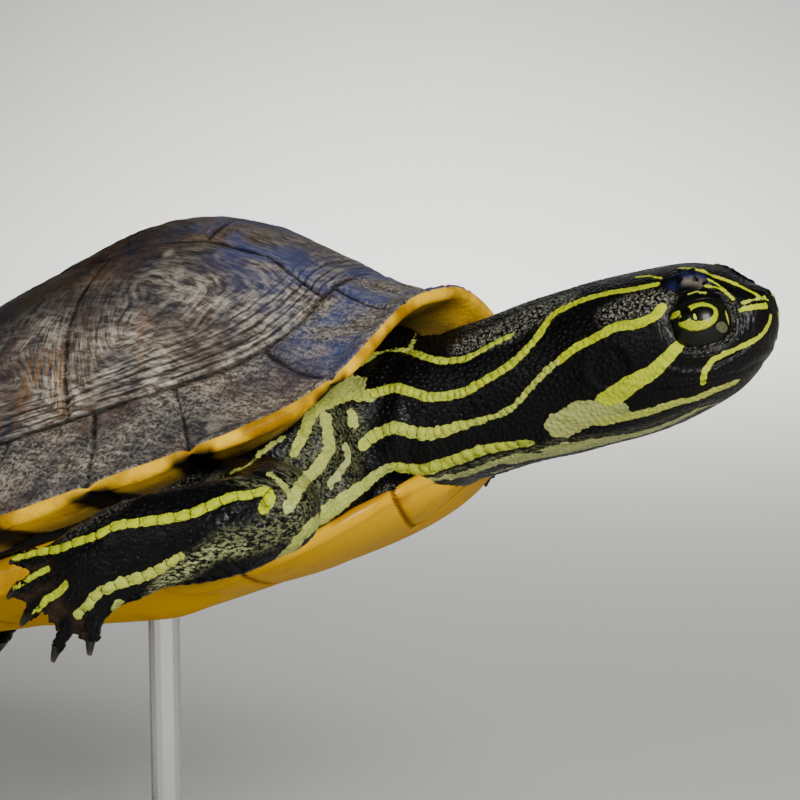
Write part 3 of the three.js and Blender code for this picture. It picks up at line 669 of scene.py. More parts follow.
# Stripes run along these paths, given as places (across, down) in the camera's 800 x 800 frame
# and cast from the camera onto the skin of the turtle's right side; the left side mirrors it.
# Each has its tone (0 bright, 1 pale), its widths from end to end in the same pixels, whether
# it is broken into beads, and its path.
STRIPES = {
    "crown": (0, (7, 9), 0, [
        (657, 284), (634, 289), (609, 293), (586, 299), (565, 308), (552, 316), (538, 336)]),
    "crown_neck": (0.1, (8, 9), 1.4, [(541, 333), (519, 357), (501, 371), (484, 381), (470, 389)]),
    "crown_base": (0.2, (9, 11), 1.15, [
        (472, 388), (461, 393), (446, 396), (429, 397), (417, 394), (397, 388), (382, 391),
        (366, 396)]),
    "crown_end": (0.45, (13, 15, 12, 10), 0, [
        (370, 395), (348, 396), (329, 401), (314, 411), (306, 428), (297, 447), (294, 453)]),
    "behind_eye": (0, (10, 11, 9, 8), 0, [
        (662, 308), (653, 317), (636, 324), (616, 327), (595, 338), (574, 349), (559, 361)]),
    "behind_eye_neck": (0.4, (7, 6), 1.2, [
        (561, 359), (543, 374), (532, 386), (515, 405), (501, 414), (481, 420)]),
    "behind_eye_base": (0.35, (6, 8, 12, 14, 12, 12, 12), 1.5, [
        (485, 419), (477, 422), (452, 428), (431, 434), (412, 432), (394, 428), (375, 435),
        (363, 445)]),
    "neck_top": (0.2, (6, 9), 1.5, [
        (512, 335), (491, 345), (474, 355), (464, 359), (446, 361), (427, 358), (415, 353)]),
    "neck_top_end": (0.35, (8, 8, 11, 13), 0, [
        (418, 354), (403, 350), (382, 352), (363, 361), (344, 372), (326, 384), (312, 396)]),
    "neck_twig": (0.4, (7, 4), 0, [(409, 352), (413, 343), (416, 333)]),
    "cheek": (0.1, (11, 22), 0, [
        (680, 344), (668, 357), (652, 372), (634, 382), (620, 392), (606, 402)]),
    "jaw_patch": (0.75, (16, 30, 32), 0, [
        (622, 409), (606, 410), (588, 413), (573, 420), (561, 426)]),
    "jaw": (0.45, (8, 12), 0, [
        (736, 382), (716, 390), (695, 399), (672, 404), (645, 413), (620, 418), (600, 422)]),
    "chin": (0.8, (6, 9, 16, 24, 26, 22), 0, [
        (718, 403), (700, 409), (680, 419), (650, 431), (620, 438), (600, 442), (575, 447),
        (550, 452), (530, 456), (512, 460)]),
    "lower_neck": (0.25, (9, 12, 14, 16, 16, 14, 10), 2.0, [
        (531, 443), (520, 444), (495, 448), (477, 452), (459, 459), (440, 465), (425, 470),
        (409, 469), (394, 466)]),
    "throat_edge": (0.8, (4, 5), 0, [(520, 465), (506, 469), (492, 473)]),
    "throat_line": (0.8, (12, 12, 6), 0, [
        (520, 455), (500, 461), (482, 468), (462, 475), (440, 478), (425, 480)]),
    "chest": (0.55, (10, 12, 15, 20, 19, 18), 0, [
        (388, 468), (375, 476), (363, 487), (351, 495), (338, 505), (323, 518), (308, 531),
        (295, 545), (283, 556)]),
    "shoulder": (0.6, (26, 34, 30), 0, [(306, 398), (322, 392), (340, 386), (354, 386)]),
    "shoulder_a": (0.6, (12, 14, 11), 0, [
        (326, 417), (328, 433), (329, 447), (322, 462), (311, 475), (301, 485), (293, 499),
        (288, 508)]),
    "shoulder_b": (0.65, (6, 8), 0, [(270, 473), (281, 483), (293, 497)]),
    "shoulder_c": (0.8, (9, 8, 10), 0, [(345, 446), (348, 459), (341, 471), (331, 484)]),
    "shoulder_d": (0.6, (8, 11), 0, [(351, 412), (353, 423)]),
    "shoulder_e": (0.5, (5, 8), 0, [(284, 437), (262, 452), (247, 466), (232, 472)]),
    "forearm": (0.05, (14, 10, 11, 10, 9, 9, 7), 2.5, [
        (264, 508), (269, 499), (266, 491), (250, 495), (231, 497), (211, 505), (192, 513),
        (173, 518), (154, 520), (135, 523), (115, 526), (96, 536), (77, 542), (58, 549),
        (42, 551), (26, 555), (12, 559)]),
    "forearm_under": (0.4, (9, 12, 12, 10, 9), 2.3, [
        (181, 556), (165, 566), (154, 572), (142, 577), (131, 580), (119, 584), (108, 588),
        (96, 595), (86, 607), (77, 615)]),
    "toe_2": (0.1, (7, 6), 0, [(48, 569), (36, 575), (23, 583), (12, 589)]),
    "toe_3": (0.1, (9, 8, 4), 0, [(66, 585), (58, 593), (46, 600), (39, 609), (29, 618)]),
    "wrist_patch": (0.6, (12, 10), 0, [(119, 604), (114, 612), (108, 622)]),
    "upper_jaw": (0.1, (5, 7), 0, [
        (771, 316), (768, 326), (758, 338), (740, 347), (724, 354), (712, 361), (705, 371),
        (703, 382)]),
    "nostril": (0, (5, 7), 0, [(741, 310), (754, 307), (766, 306)]),
    "crown_line": (0, (4, 4, 3), 0, [
        (679, 268), (697, 269), (713, 276), (733, 283), (748, 290), (759, 296), (768, 300)]),
    "brow_line": (0, (3, 3.6), 0, [(708, 279), (721, 287), (732, 298)]),
    "brow_line_low": (0, (4, 3.6), 0, [(706, 286), (718, 288), (727, 293), (733, 299)]),
    "snout_dash": (0.3, (3, 4), 0, [(742, 303), (752, 300), (765, 298)]),
    "crown_rear": (0, (3.5, 4.5), 0, [(636, 277), (648, 276), (660, 278)]),
    "lid_dash": (0.3, (5, 6), 0, [(690, 294), (697, 292), (704, 293)]),
}

# Softer patches in the same frame: kind, strength, widths and path. Streaked skin is black
# broken by fine pale lines, grainy skin is thick with grey grains, which partly stand for
# painted glints of the wet skin, a sheen is a painted blue reflection, tan is a pale brown
# patch, and a shade is black that cuts through the stripes.
PATCHES = [
    ("streaked", 0.4, (34, 28), [(296, 500), (288, 525), (262, 538), (226, 545)]),
    ("streaked", 1.0, (12, 18, 12), [
        (245, 548), (215, 551), (190, 566), (165, 584), (140, 605), (118, 626)]),
    ("streaked", 0.3, (50, 56), [(330, 425), (314, 455), (300, 480), (288, 520)]),
    ("streaked", 0.25, (30, 30), [(352, 420), (350, 450), (345, 480), (330, 500)]),
    ("streaked", 0.45, (10, 12), [(206, 479), (225, 478), (250, 482), (268, 488)]),
    ("granular", 0.9, (22, 30, 24, 12), [(342, 525), (360, 511), (382, 498), (405, 488),
                                         (430, 482)]),
    # Behind the eye and on the neck's top the grains are mostly painted glints.
    ("granular", 0.85, (18, 28, 18), [(664, 300), (650, 302), (632, 306), (606, 314)]),
    ("granular", 0.8, (12, 30, 32, 22), [(572, 300), (560, 303), (530, 316), (500, 332),
                                         (462, 345)]),
    # Painted glints along the forearm's top.
    ("granular", 0.4, (12, 20, 20, 14), [(66, 536), (105, 512), (140, 494), (180, 484),
                                         (215, 479)]),
    ("shade", 0.2, (5, 9), [
        (712, 401), (681, 412), (654, 424), (627, 431), (591, 437), (560, 441), (530, 450)]),
    ("shade", 0.3, (5, 8, 7), [(540, 452), (515, 452), (490, 459), (462, 468), (438, 476)]),
    # Painted blue reflections, over the brow and on the forearm's top.
    ("sheen", 0.8, (6, 13, 6), [(672, 286), (682, 280), (697, 277), (709, 281)]),
    ("sheen", 0.6, (12, 16), [(120, 500), (140, 495), (165, 488)]),
    ("tan", 0.8, (4, 5, 3), [(686, 281), (695, 281), (704, 284)]),
    # Painted glints along the lids' edges.
    ("granular", 0.5, (4, 5, 5, 4), [(663, 306), (663, 322), (672, 338), (688, 347), (706, 348),
                                     (722, 342), (732, 330), (735, 314), (728, 300)]),
]

# Stripes of the hind legs and tail run along the limb: part, tone, width in mm, how far round
# from its outer side in degrees at each end, and from where to where along it.
LIMB_STRIPES = [
    (HINDLEG_PARTS[0], 0.2, 2.6, (28, 12), (0.2, 1)),
    (HINDLEG_PARTS[1], 0.2, 2.4, (12, 4), (0, 1)),
    (HINDLEG_PARTS[0], 0.4, 2.2, (-52, -60), (0.1, 1)),
    (HINDLEG_PARTS[1], 0.4, 2, (-60, -64), (0, 1)),
    (HINDLEG_PARTS[0], 0.2, 1.8, (78, 66), (0.3, 1)),
    (HINDLEG_PARTS[1], 0.2, 1.6, (66, 60), (0, 1)),
    (TAIL_PARTS[0], 0.2, 1.4, (14, 10), (0.1, 0.97)),
    (TAIL_PARTS[0], 0.2, 1.4, (170, 172), (0.1, 0.97)),
    (TAIL_PARTS[0], 0.5, 1.5, (-78, -80), (0.1, 0.9)),
    (FORELEG_PARTS[1], 0.3, 1.6, (150, 165), (0.1, 1)),
]


def camera_axes():
    """The camera's place in metres, and its right, up and backward directions."""
    a, e = CAMERA_AZIMUTH, CAMERA_ELEVATION
    right = np.array([math.cos(a), math.sin(a), 0])
    back = np.array([math.sin(a) * math.cos(e), -math.cos(a) * math.cos(e), math.sin(e)])
    return np.array(CAMERA_TARGET) + back * CAMERA_DISTANCE, right, np.cross(back, right), back


def cast_path(tree, path, widths):
    """Casts a path of frame pixels onto the skin. Gives shell points and half widths in mm."""
    eye, right, up, back = camera_axes()
    row = np.array(path, float)
    steps = max(4, int(distance(row[1:], row[:-1]).sum() / 2.2))
    row = smooth_curve(row, steps)
    width = np.interp(np.linspace(0, 1, steps), np.linspace(0, 1, len(widths)), widths)
    middle = FRAME_PIXELS / 2
    found, halves = [], []
    for (u, v), w in zip(row, width):
        ray = right * (u - middle) - up * (v - middle) - back * CAMERA_FOCAL_PIXELS
        hit, _, _, far = tree.ray_cast(Vector(eye), Vector(unit(ray)))
        if hit is not None:
            found.append(hit)
            halves.append(w * far * 1000 / CAMERA_FOCAL_PIXELS / 2)
    if not found:
        raise RuntimeError(f"a marking's path {path[0]} misses the skin")
    line = to_shell(np.array([list(h) for h in found]))
    line[:, 1] = -np.abs(line[:, 1])
    return line, np.array(halves)


def limb_stripe(stations, turns, ends, steps=30):
    """A line along a limb's surface, so many degrees round from its outer side."""
    rings = limb_rings(stations, steps=steps, sides=72)
    keep = range(int(ends[0] * (steps - 1)), int(ends[1] * (steps - 1)) + 1)
    line = []
    for k in keep:
        turn = lerp(*turns, k / (steps - 1)) % 360
        line.append(rings[k][int(round(turn / 5)) % 72])
    return smooth_curve(np.array(line), 60)


def digit_stripes():
    """A stripe down each hind toe."""
    t = np.linspace(0.3, 0.98, 30)[:, None]
    lines = []
    for fan, reach in HIND_DIGITS["fan"]:
        hub, direction, flat = toe_frame(HIND_DIGITS, fan)
        lines.append(hub + direction * reach * t - flat * 1.9)
    return lines


class Markings:
    """Distances to the stripes, from which skin and scales take the same pattern."""

    def __init__(self, skin):
        tree = BVHTree.FromObject(skin, bpy.context.evaluated_depsgraph_get())
        self.stripes, self.bead_lines = [], []
        for tone, widths, bead_mm, path in STRIPES.values():
            line, half = cast_path(tree, path, widths)
            along = way_along(line)
            beads = np.full(len(line), 0.5)
            if bead_mm:
                beads = along / bead_mm
                beads += 0.14 * lattice_noise(np.stack([beads, 0 * beads, 0 * beads], 1), 7)
                half = half * (1.03 - 0.22 * np.abs(np.cos(np.pi * beads)) ** 8)
                self.bead_lines.append((line, half, beads, bead_mm))
            self.stripes.append((line, half, beads, tone))
        for stations, tone, width, turns, ends in LIMB_STRIPES:
            line = limb_stripe(stations, turns, ends)
            self.add_plain(line, width / 2, tone)
        for line in digit_stripes():
            self.add_plain(line, 0.7, 0.2)
        self.patches = [(kind, strength, *cast_path(tree, path, widths))
                        for kind, strength, widths, path in PATCHES]

    def add_plain(self, line, half, tone):
        self.stripes.append((line, np.full(len(line), half), np.full(len(line), 0.5), tone))

    def at(self, points):
        """The pattern at each point: how far inside a stripe it is in mm, the stripe's tone
        and its count of beads, and how strong each kind of patch is."""
        p = right_side(points)
        found = {"stripe": np.full(len(p), -9.0), "tone": np.zeros(len(p)),
                 "bead": np.full(len(p), 0.5)}
        for line, half, beads, tone in self.stripes:
            value, nearest = self.nearest(p, line, half)
            won = value > found["stripe"]
            found["stripe"][won] = value[won]
            near = won & (value > -0.5)
            found["tone"][near] = tone
            found["bead"][near] = beads[nearest[near]]
        for kind in ("streaked", "granular", "sheen", "tan"):
            found[kind] = np.zeros(len(p))
        for kind, strength, line, half in self.patches:
            value, _ = self.nearest(p, line, half)
            if kind == "shade":
                soft = smoothstep(-0.35, 0.35, value)
                cut = np.minimum(found["stripe"], -value)
                found["stripe"] = np.where(soft > 0, cut, found["stripe"])
                found["streaked"] = np.maximum(found["streaked"], soft * strength)
            else:
                soft = smoothstep(-1.3, 1.2, value) * strength
                found[kind] = np.maximum(found[kind], soft)
        found["web"] = web_share(p)
        return found

    @staticmethod
    def nearest(p, line, half):
        """For each point the largest of half width less distance, and which sample gives it."""
        low, high = line.min(0) - 4, line.max(0) + 4
        near = np.flatnonzero(((p > low) & (p < high)).all(1))
        value, which = np.full(len(p), -9.0), np.zeros(len(p), int)
        if len(near):
            some = p[near]
            best, index = np.full(len(some), -9.0), np.zeros(len(some), int)
            for start in range(0, len(line), 24):
                part = slice(start, start + 24)
                gap = half[part] - distance(some[:, None], line[part])
                top = gap.argmax(1)
                score = gap[np.arange(len(some)), top]
                won = score > best
                best[won], index[won] = score[won], start + top[won]
            value[near], which[near] = best, index
        return value, which


def right_side(points):
    """The same places on the turtle's right side, with the left forefoot lowered again."""
    p = points.copy()
    foot = (p[:, 1] > 55) & (p[:, 0] < 67.5) & (p[:, 0] > 30)
    p[foot] = raise_left_foot(p[foot], back=True)
    tail = (p[:, 0] < -88) & (np.abs(p[:, 1]) < 14)
    p[:, 1] = np.where(tail, p[:, 1], -np.abs(p[:, 1]))
    return p


def web_share(p):
    """1 on the thin skin between the toes, for points on the right side."""
    share = np.zeros(len(p))
    for digits, inner in ((FORE_DIGITS, 8.5), (HIND_DIGITS, 13)):
        hub, axis, flat = digit_frame(digits)
        across = np.cross(flat, axis)
        offset = p - hub
        reach = np.linalg.norm(offset, axis=1)
        turn = np.degrees(np.arctan2(offset @ across, offset @ axis))
        fans = [fan for fan, _ in digits["fan"]]
        toe_gap = np.full(len(p), 99.0)
        for fan, length in digits["fan"]:
            _, direction, _ = toe_frame(digits, fan)
            along = np.clip(offset @ direction, 0, length)
            toe_gap = np.minimum(toe_gap, distance(offset, along[:, None] * direction))
        here = smoothstep(inner, inner + 2.5, reach) * smoothstep(1.35, 1.75, toe_gap)
        here *= (turn > min(fans)) & (turn < max(fans)) & (reach < 32) & (np.abs(offset @ flat) < 3)
        here *= smoothstep(0.6, -0.2, reach - np.interp(
            turn, *zip(*sorted(digits["fan"]))) * digits["web"])
        share = np.maximum(share, here)
    return share


# ---- The skin ---------------------------------------------------------------------------------

def eye_axes():
    """Directions across the eye's front: ahead, towards the snout, and above."""
    ahead = unit(np.array([1.0, 0, 0]) - GAZE * GAZE[0])
    above = np.cross(ahead, GAZE)
    return ahead, above if above[2] > 0 else -above


def over_mouth(p):
    """How high each point lies over the line of the mouth."""
    line = np.array(MOUTH_LINE)
    return p[:, 2] - np.interp(p[:, 0], line[:, 0], line[:, 1])


def lid_distance(across, up):
    """Signed distance in mm from the lids' opening, along the skin: negative is inside it."""
    lift = up + 0.6
    upper = lift > 0
    tall = np.where(upper, 3.15 - 0.6 * smoothstep(1.0, 4.5, across), 3.6)
    power = np.where(upper, 4.2, 2.4)
    k = (np.abs(across / 4.55) ** power + np.abs(lift / tall) ** power) ** (1 / power)
    return (k - 1) * 3.8


def shape_eyelids(p):
    """Draws the skin round the eyeball into two thin lids with fine creases. Points move only
    along the gaze, so the skin beyond the lids keeps its place."""
    ahead, above = eye_axes()
    offset = p - EYE_CENTRE
    across, up, out = offset @ ahead, offset @ above, offset @ GAZE
    aside = np.hypot(across, up)

    def over_ball(grow, limit=EYE_RADIUS - 0.1):
        return np.sqrt(np.maximum((EYE_RADIUS + grow) ** 2 - np.minimum(aside, limit) ** 2, 0.5))

    d = lid_distance(across, up)
    wavy = d + 0.16 * lattice_noise(p / 0.9, 15)
    creases = sum(-depth * bump_at(wavy, at, 0.13) for at, depth in (
        (0.5, 0.12), (0.95, 0.14), (1.45, 0.16), (2.0, 0.14), (2.7, 0.1)))
    lid = over_ball(0.12 + 0.26 * (1 - np.exp(-np.maximum(d, 0) / 0.3))) + creases
    socket = over_ball(0.12 - 2.6 * np.clip(-d, 0, 0.45))
    kept = np.maximum(out, over_ball(0.4, 9.0)) + 0.8 * creases
    target = np.where(d > 0, lerp(lid, kept, smoothstep(0.4, 2.6, d)), socket)
    near = (out > 0) & (aside < 9)
    return p + np.outer(np.where(near, target - out, 0), GAZE)


def shape_head(p, normal):
    """Presses in the mouth, the nostrils and the ear, and lets the beak stand over the jaw."""
    height = over_mouth(p)
    side = smoothstep(0.35, 0.0, np.abs(normal[:, 2]) - 0.55)
    push = -0.62 * bump_at(height, 0, 0.3) + 0.26 * bump_at(height, 0.8, 0.55)
    push += -0.22 * bump_at(height, -1.0, 0.8)
    move = smoothstep(134.6, 137.5, p[:, 0]) * side * push
    nostril = distance(p, (154.0, -1.7, -8.6))
    move += -0.8 * bump_at(nostril, 0, 0.55) + 0.12 * bump_at(nostril, 1.0, 0.3)
    ear = np.linalg.norm((p - (130.5, -12, -10.5)) * (1, 0.5, 1.1), axis=1)
    move += -0.25 * smoothstep(4.2, 3.0, ear) + 0.14 * bump_at(ear, 4.2, 0.7)
    brow = np.linalg.norm((p - (147.6, -5.2, -1.6)) * (0.55, 0.8, 1), axis=1)
    move += 0.3 * bump_at(brow, 0, 1.5)
    return p + normal * move[:, None]


def shape_folds(p, normal):
    """Creases of the neck and the soft folds about the shoulder, elbow and wrist."""
    x, y, z = p.T
    crease = np.sin(2 * np.pi * x / 2.1 + 1.6 * lattice_noise(p / 7, 3))
    neck = smoothstep(86, 92, x) * smoothstep(114, 104, x)
    move = -0.13 * neck * np.maximum(0, crease) ** 3
    soft = smoothstep(112, 96, x)
    move += soft * (0.32 * lattice_noise(p / 6, 5) + 0.16 * lattice_noise(p / 2.6, 6))
    elbow = distance(p, (88, -57, -17))
    rings = np.sin(2 * np.pi * elbow / 1.7 + 2.2 * lattice_noise(p / 5, 8))
    move += -0.16 * np.maximum(0, rings) ** 2 * smoothstep(3, 5, elbow) * smoothstep(17, 11, elbow)
    chest = smoothstep(60, 70, x) * smoothstep(100, 92, x) * smoothstep(-46, -40, y)
    fold = np.sin(2 * np.pi * (0.75 * x - 0.55 * z) / 6.5 + 1.5 * lattice_noise(p / 9, 9))
    move += 0.38 * chest * fold
    rear = smoothstep(-66, -74, x) * smoothstep(-112, -96, x)
    move += 0.3 * rear * np.sin(2 * np.pi * x / 5 + 2 * lattice_noise(p / 7, 11)) * soft
    return p + normal * move[:, None]


def on_right(p, shape, *extra):
    """Runs a shaping step as if every point were on the right side."""
    side = np.where(p[:, 1:2] > 0, -1.0, 1.0)
    flip = np.hstack([np.ones_like(side), side, np.ones_like(side)])
    return shape(p * flip, *[e * flip for e in extra]) * flip


def by_the_eye(p):
    """Which points lie on the lids."""
    offset = np.stack([p[:, 0], -np.abs(p[:, 1]), p[:, 2]], 1) - EYE_CENTRE
    out = offset @ GAZE
    return (out > 0.8) & (np.linalg.norm(offset - np.outer(out, GAZE), axis=1) < 6.4)


HIDDEN_SHARE = 0.04                     # of its faces, what the skin inside the shell keeps
# Places where one length of flesh runs into the next, and how far round them it is evened out.
JOINTS = [((80, -26, -8), 17), ((89, -52, -14), 9), ((67.5, -65, -12.6), 5),
          ((-66, -36, -10), 14), ((-83, -51, -14), 9), ((-111, -56.5, -19), 5),
          ((-86, 0, -6), 9), ((-74, -18, -8), 14)]


def make_skin(settings):
    """Joins all the lengths of flesh into one skin, evens out its joints and shapes it finely
    where it shows most."""
    skin = take_up(*flesh_blanks())
    bpy.ops.object.join()
    skin.name = skin.data.name = "turtle_skin"
    bpy.ops.object.transform_apply(location=True, rotation=True, scale=True)
    apply_modifier(skin, "REMESH", mode="VOXEL", voxel_size=settings.voxel)

    p = points_of(skin)
    edges = edges_of(skin)
    joints = np.zeros(len(p))
    for (x, y, z), reach in JOINTS:
        gap = np.minimum(distance(p, (x, y, z)), distance(p, (x, -y, z)))
        joints = np.maximum(joints, smoothstep(reach, reach * 0.5, gap))
    p = relax(p, edges, np.ones(len(p)), 3)
    p = relax(p, edges, joints, 14, keep_volume=False)
    set_points(skin, p)

    trunk = (np.abs(p[:, 0] + 0.5) < 52) & (np.abs(p[:, 1]) < 60)
    hidden = face_means(skin, trunk.astype(float)) > 0.99
    edit_faces(skin, hidden, bpy.ops.mesh.decimate, ratio=HIDDEN_SHARE)

    def refine(inside):
        mostly = face_means(skin, inside(points_of(skin)).astype(float)) > 0.5
        edit_faces(skin, mostly, bpy.ops.mesh.subdivide, number_cuts=1)
        points = points_of(skin)
        weight = inside(points).astype(float)
        set_points(skin, relax(points, edges_of(skin), weight, 2))

    refine(lambda q: ((q[:, 0] > 93) & (np.abs(q[:, 1]) < 20))
           | ((q[:, 0] > 56) & (q[:, 1] < -8) & (q[:, 2] < 3)))
    refine(lambda q: q[:, 0] > 135)
    refine(by_the_eye)

    p = points_of(skin)
    depth = settings.coat_depth * 1000 * lerp(1, 0.3, smoothstep(122, 132, p[:, 0]))
    set_points(skin, p - normals_of(skin) * depth[:, None])
    for shape in (shape_folds, shape_head):
        p = on_right(p, shape, normals_of(skin))
        set_points(skin, p)
    set_points(skin, on_right(p, shape_eyelids))
    return skin


def paint_values(obj, markings, points=None):
    """Writes the pattern's numbers at each of a piece's points."""
    points = points_of(obj) if points is None else points
    for name, values in markings.at(points).items():
        set_values(obj, name, values)
    x, height = points[:, 0], over_mouth(points)
    set_values(obj, "beak", smoothstep(137, 146, x) * smoothstep(-2.2, -0.9, height)
               * smoothstep(3.4, 1.2, height - 4.2 * smoothstep(149, 154, x)))


def unwrap_skin(skin):
    """Gives the skin its own flat layout, each face kept whole on its part's island."""
    mesh = skin.data
    p = points_of(skin)
    corner = read_all(mesh.loops, "vertex_index")
    centre = np.stack([face_means(skin, p[:, k]) for k in range(3)], 1)
    _, sheet_face = locate(centre)
    _, sheet_point = locate(p)
    face_of = np.repeat(np.arange(len(mesh.polygons)), read_all(mesh.polygons, "loop_total"))
    uv = sheet_point[corner]
    home = sheet_face[face_of]
    stray = np.abs(uv - home).max(1) > 5
    uv[stray] = home[stray] + (p[corner[stray]] - centre[face_of[stray]])[:, [0, 2]]
    layer = mesh.uv_layers.new(name="OFBake")
    layer.data.foreach_set("uv", (uv / SHEET_MM).astype(np.float32).ravel())


def skin_material(settings):
    """Wet reptile skin: black and pebbled, with pale stripes. The film of water gives it small
    sharp glints over a soft dark ground; more glints are painted in as grey grains, and a blue
    sheen is painted over the brow and the forearm."""
    material, node = new_material("wet_pebbled_skin")
    place = node(PLACE)
    along = node("Mapping", {"Vector": place, "Rotation": (0, PITCH, 0), "Scale": (0.22, 1, 1)})
    mark = {name: node(FROM_MESH, attribute_name=name) for name in (
        "stripe", "tone", "bead", "streaked", "granular", "sheen", "tan", "web", "beak")}
    noise = {name: node("TexNoise", {"Vector": vector, "Scale": scale, "Detail": detail,
                                     "Roughness": rough})
             for name, vector, scale, detail, rough in (
                 ("edge", place, 900.0, 3.0, 0.5), ("joint", place, 1200.0, 2.0, 0.5),
                 ("streak", along, 2200.0, 4.0, 0.65), ("speck", place, 1300.0, 3.0, 0.7),
                 ("patch", place, 600.0, 3.0, 0.5), ("worn", along, 800.0, 4.0, 0.6),
                 ("wet", place, 350.0, 2.0, 0.5), ("swell", place, 1000.0, 3.0, 0.5))}
    # The paler a stripe, the more its edge is torn. Dark joints part the beads along it.
    torn = node(BOTH, (mark["tone"], 1.3, 0.5))
    ragged = node(BOTH, (node(SUM, (noise["edge"], -0.5)), torn, mark["stripe"]))
    bead = node(ABSOLUTE, (node(SUM, (node(FRACT, (mark["bead"],)), -0.5)),))
    joint = node(EASED, (node(BOTH, (noise["joint"], 0.05, bead)), 0.455, 0.5))
    stripe = node(PRODUCT, (node(EASED, (ragged, -0.05, 0.08)),
                            node(BOTH, (joint, -0.85, 1.0))))
    # Grey grains, which partly stand for painted glints of the wet skin.
    cells = node("TexVoronoi", {"Vector": place, "Scale": 2500.0})
    grain = node(PRODUCT, (node(EASED, (cells, 0.66, 0.36)), node(
        "MapRange", (cells.node.outputs["Color"], 0.1, 0.9, 0.05, 0.8))))
    patch = {name: node(PRODUCT, (mark[name], share)) for name, share in (
        ("sheen", node(EASED, (noise["patch"], 0.35, 0.65))),
        ("tan", node(EASED, (noise["patch"], 0.4, 0.5))),
        ("granular", grain), ("streaked", node(EASED, (noise["streak"], 0.44, 0.6))))}
    ground = settings.black
    for share, layer in (
            (node(EASED, (noise["speck"], 0.62, 0.84, 0.0, 0.22)), settings.speckle),
            # Painted blue reflection.
            (patch["sheen"], linear("#1c2452")),
            (patch["tan"], linear("#7c7158")),
            # Grey grains: real grains, and painted glints of the wet skin.
            (patch["granular"], settings.grain),
            (patch["streaked"], settings.throat),
            (mark["web"], node(BLEND, {0: node(EASED, (noise["worn"], 0.35, 0.65)),
                                       6: settings.web, 7: linear("#17100a")}))):
        ground = node(BLEND, {0: share, 6: ground, 7: layer})
    bright, pale = (
        node(BLEND, {0: node(EASED, (noise["worn"], *limits, 0.0, 0.5)), 6: fresh, 7: linear(dull)})
        for fresh, dull, limits in ((settings.stripe, "#666c10", (0.48, 0.72)),
                                    (settings.throat, "#484a32", (0.5, 0.64))))
    bright = node(BLEND, {0: mark["tone"], 6: bright, 7: pale})
    colour = node(BLEND, {0: mark["beak"], 6: ground, 7: settings.beak})
    colour = node(BLEND, {0: stripe, 6: colour, 7: bright})
    pebble = node("TexVoronoi", {"Vector": place, "Scale": 1600.0}, feature="SMOOTH_F1")
    height = node(BOTH, (noise["swell"], 0.6, node(PRODUCT, (pebble, -1.0))))
    shader = node("BsdfPrincipled", {
        "Base Color": colour, "Roughness": node("MapRange", (noise["wet"], 0.3, 0.7, 0.28, 0.44)),
        "IOR": 1.4, "Specular IOR Level": 0.13,
        "Normal": node("Bump", {"Strength": 0.4, "Distance": 0.00025, "Height": height})})
    node("OutputMaterial", {"Surface": shader})
    return material


class TURTLE_OT_skin(bpy.types.Operator):
    """Builds the one skin that stands for all the nodes of flesh"""
    bl_idname = "turtle.skin"
    bl_label = "Skin"

    def execute(self, context):
        settings = context.scene.turtle_skin
        skin = make_skin(settings)
        markings = Markings(skin)
        paint_values(skin, markings)
        unwrap_skin(skin)
        finish_piece(skin, skin_material(settings), FLESH_NODES)
        return {"FINISHED"}


# ---- Scales -----------------------------------------------------------------------------------

def scatter(surface, wanted, spacing, seed):
    """Places at least one spacing apart over the wanted faces: points, normals."""
    points, normals, triangles, areas = surface
    rng = np.random.default_rng(seed)
    chosen = np.flatnonzero(wanted)
    share = areas[chosen] / areas[chosen].sum()
    count = int(areas[chosen].sum() / spacing ** 2 * 5)
    pick = chosen[rng.choice(len(chosen), count, p=share)]
    a, b = rng.random(count), rng.random(count)
    fold = a + b > 1
    a[fold], b[fold] = 1 - a[fold], 1 - b[fold]
    corners = points[triangles[pick]]
    spots = corners[:, 0] + a[:, None] * (corners[:, 1] - corners[:, 0]) \
        + b[:, None] * (corners[:, 2] - corners[:, 0])
    cells = np.floor(spots / spacing).astype(int)
    around = [(i, j, k) for i in (-1, 0, 1) for j in (-1, 0, 1) for k in (-1, 0, 1)]
    taken, kept = {}, []
    limit = spacing ** 2
    plain = spots.tolist()
    for n, (i, j, k) in enumerate(cells.tolist()):
        x, y, z = plain[n]
        if any((x - q[0]) ** 2 + (y - q[1]) ** 2 + (z - q[2]) ** 2 < limit
               for di, dj, dk in around for q in taken.get((i + di, j + dj, k + dk), ())):
            continue
        taken.setdefault((i, j, k), []).append((x, y, z))
        kept.append(n)
    return spots[kept], unit(normals[triangles[pick[kept]]].mean(1))


def scale_template(sides):
    """A low domed plate of unit size: across, along, up, and its triangles."""
    angle = all_round(sides) + 0.3
    base = np.stack([np.cos(angle), np.sin(angle), np.full(sides, -0.6)], 1)
    shoulder = base * (0.8, 0.8, 0) + (0, 0, 0.72)
    points = np.vstack([base, shoulder, [[0, 0, 1]]])
    top = 2 * sides
    triangles = []
    for i in range(sides):
        j = (i + 1) % sides
        triangles += [(i, j, sides + j), (i, sides + j, sides + i), (sides + i, sides + j, top)]
        if 0 < i < sides - 1:
            triangles.append((0, i + 1, i))
    return points, np.array(triangles)


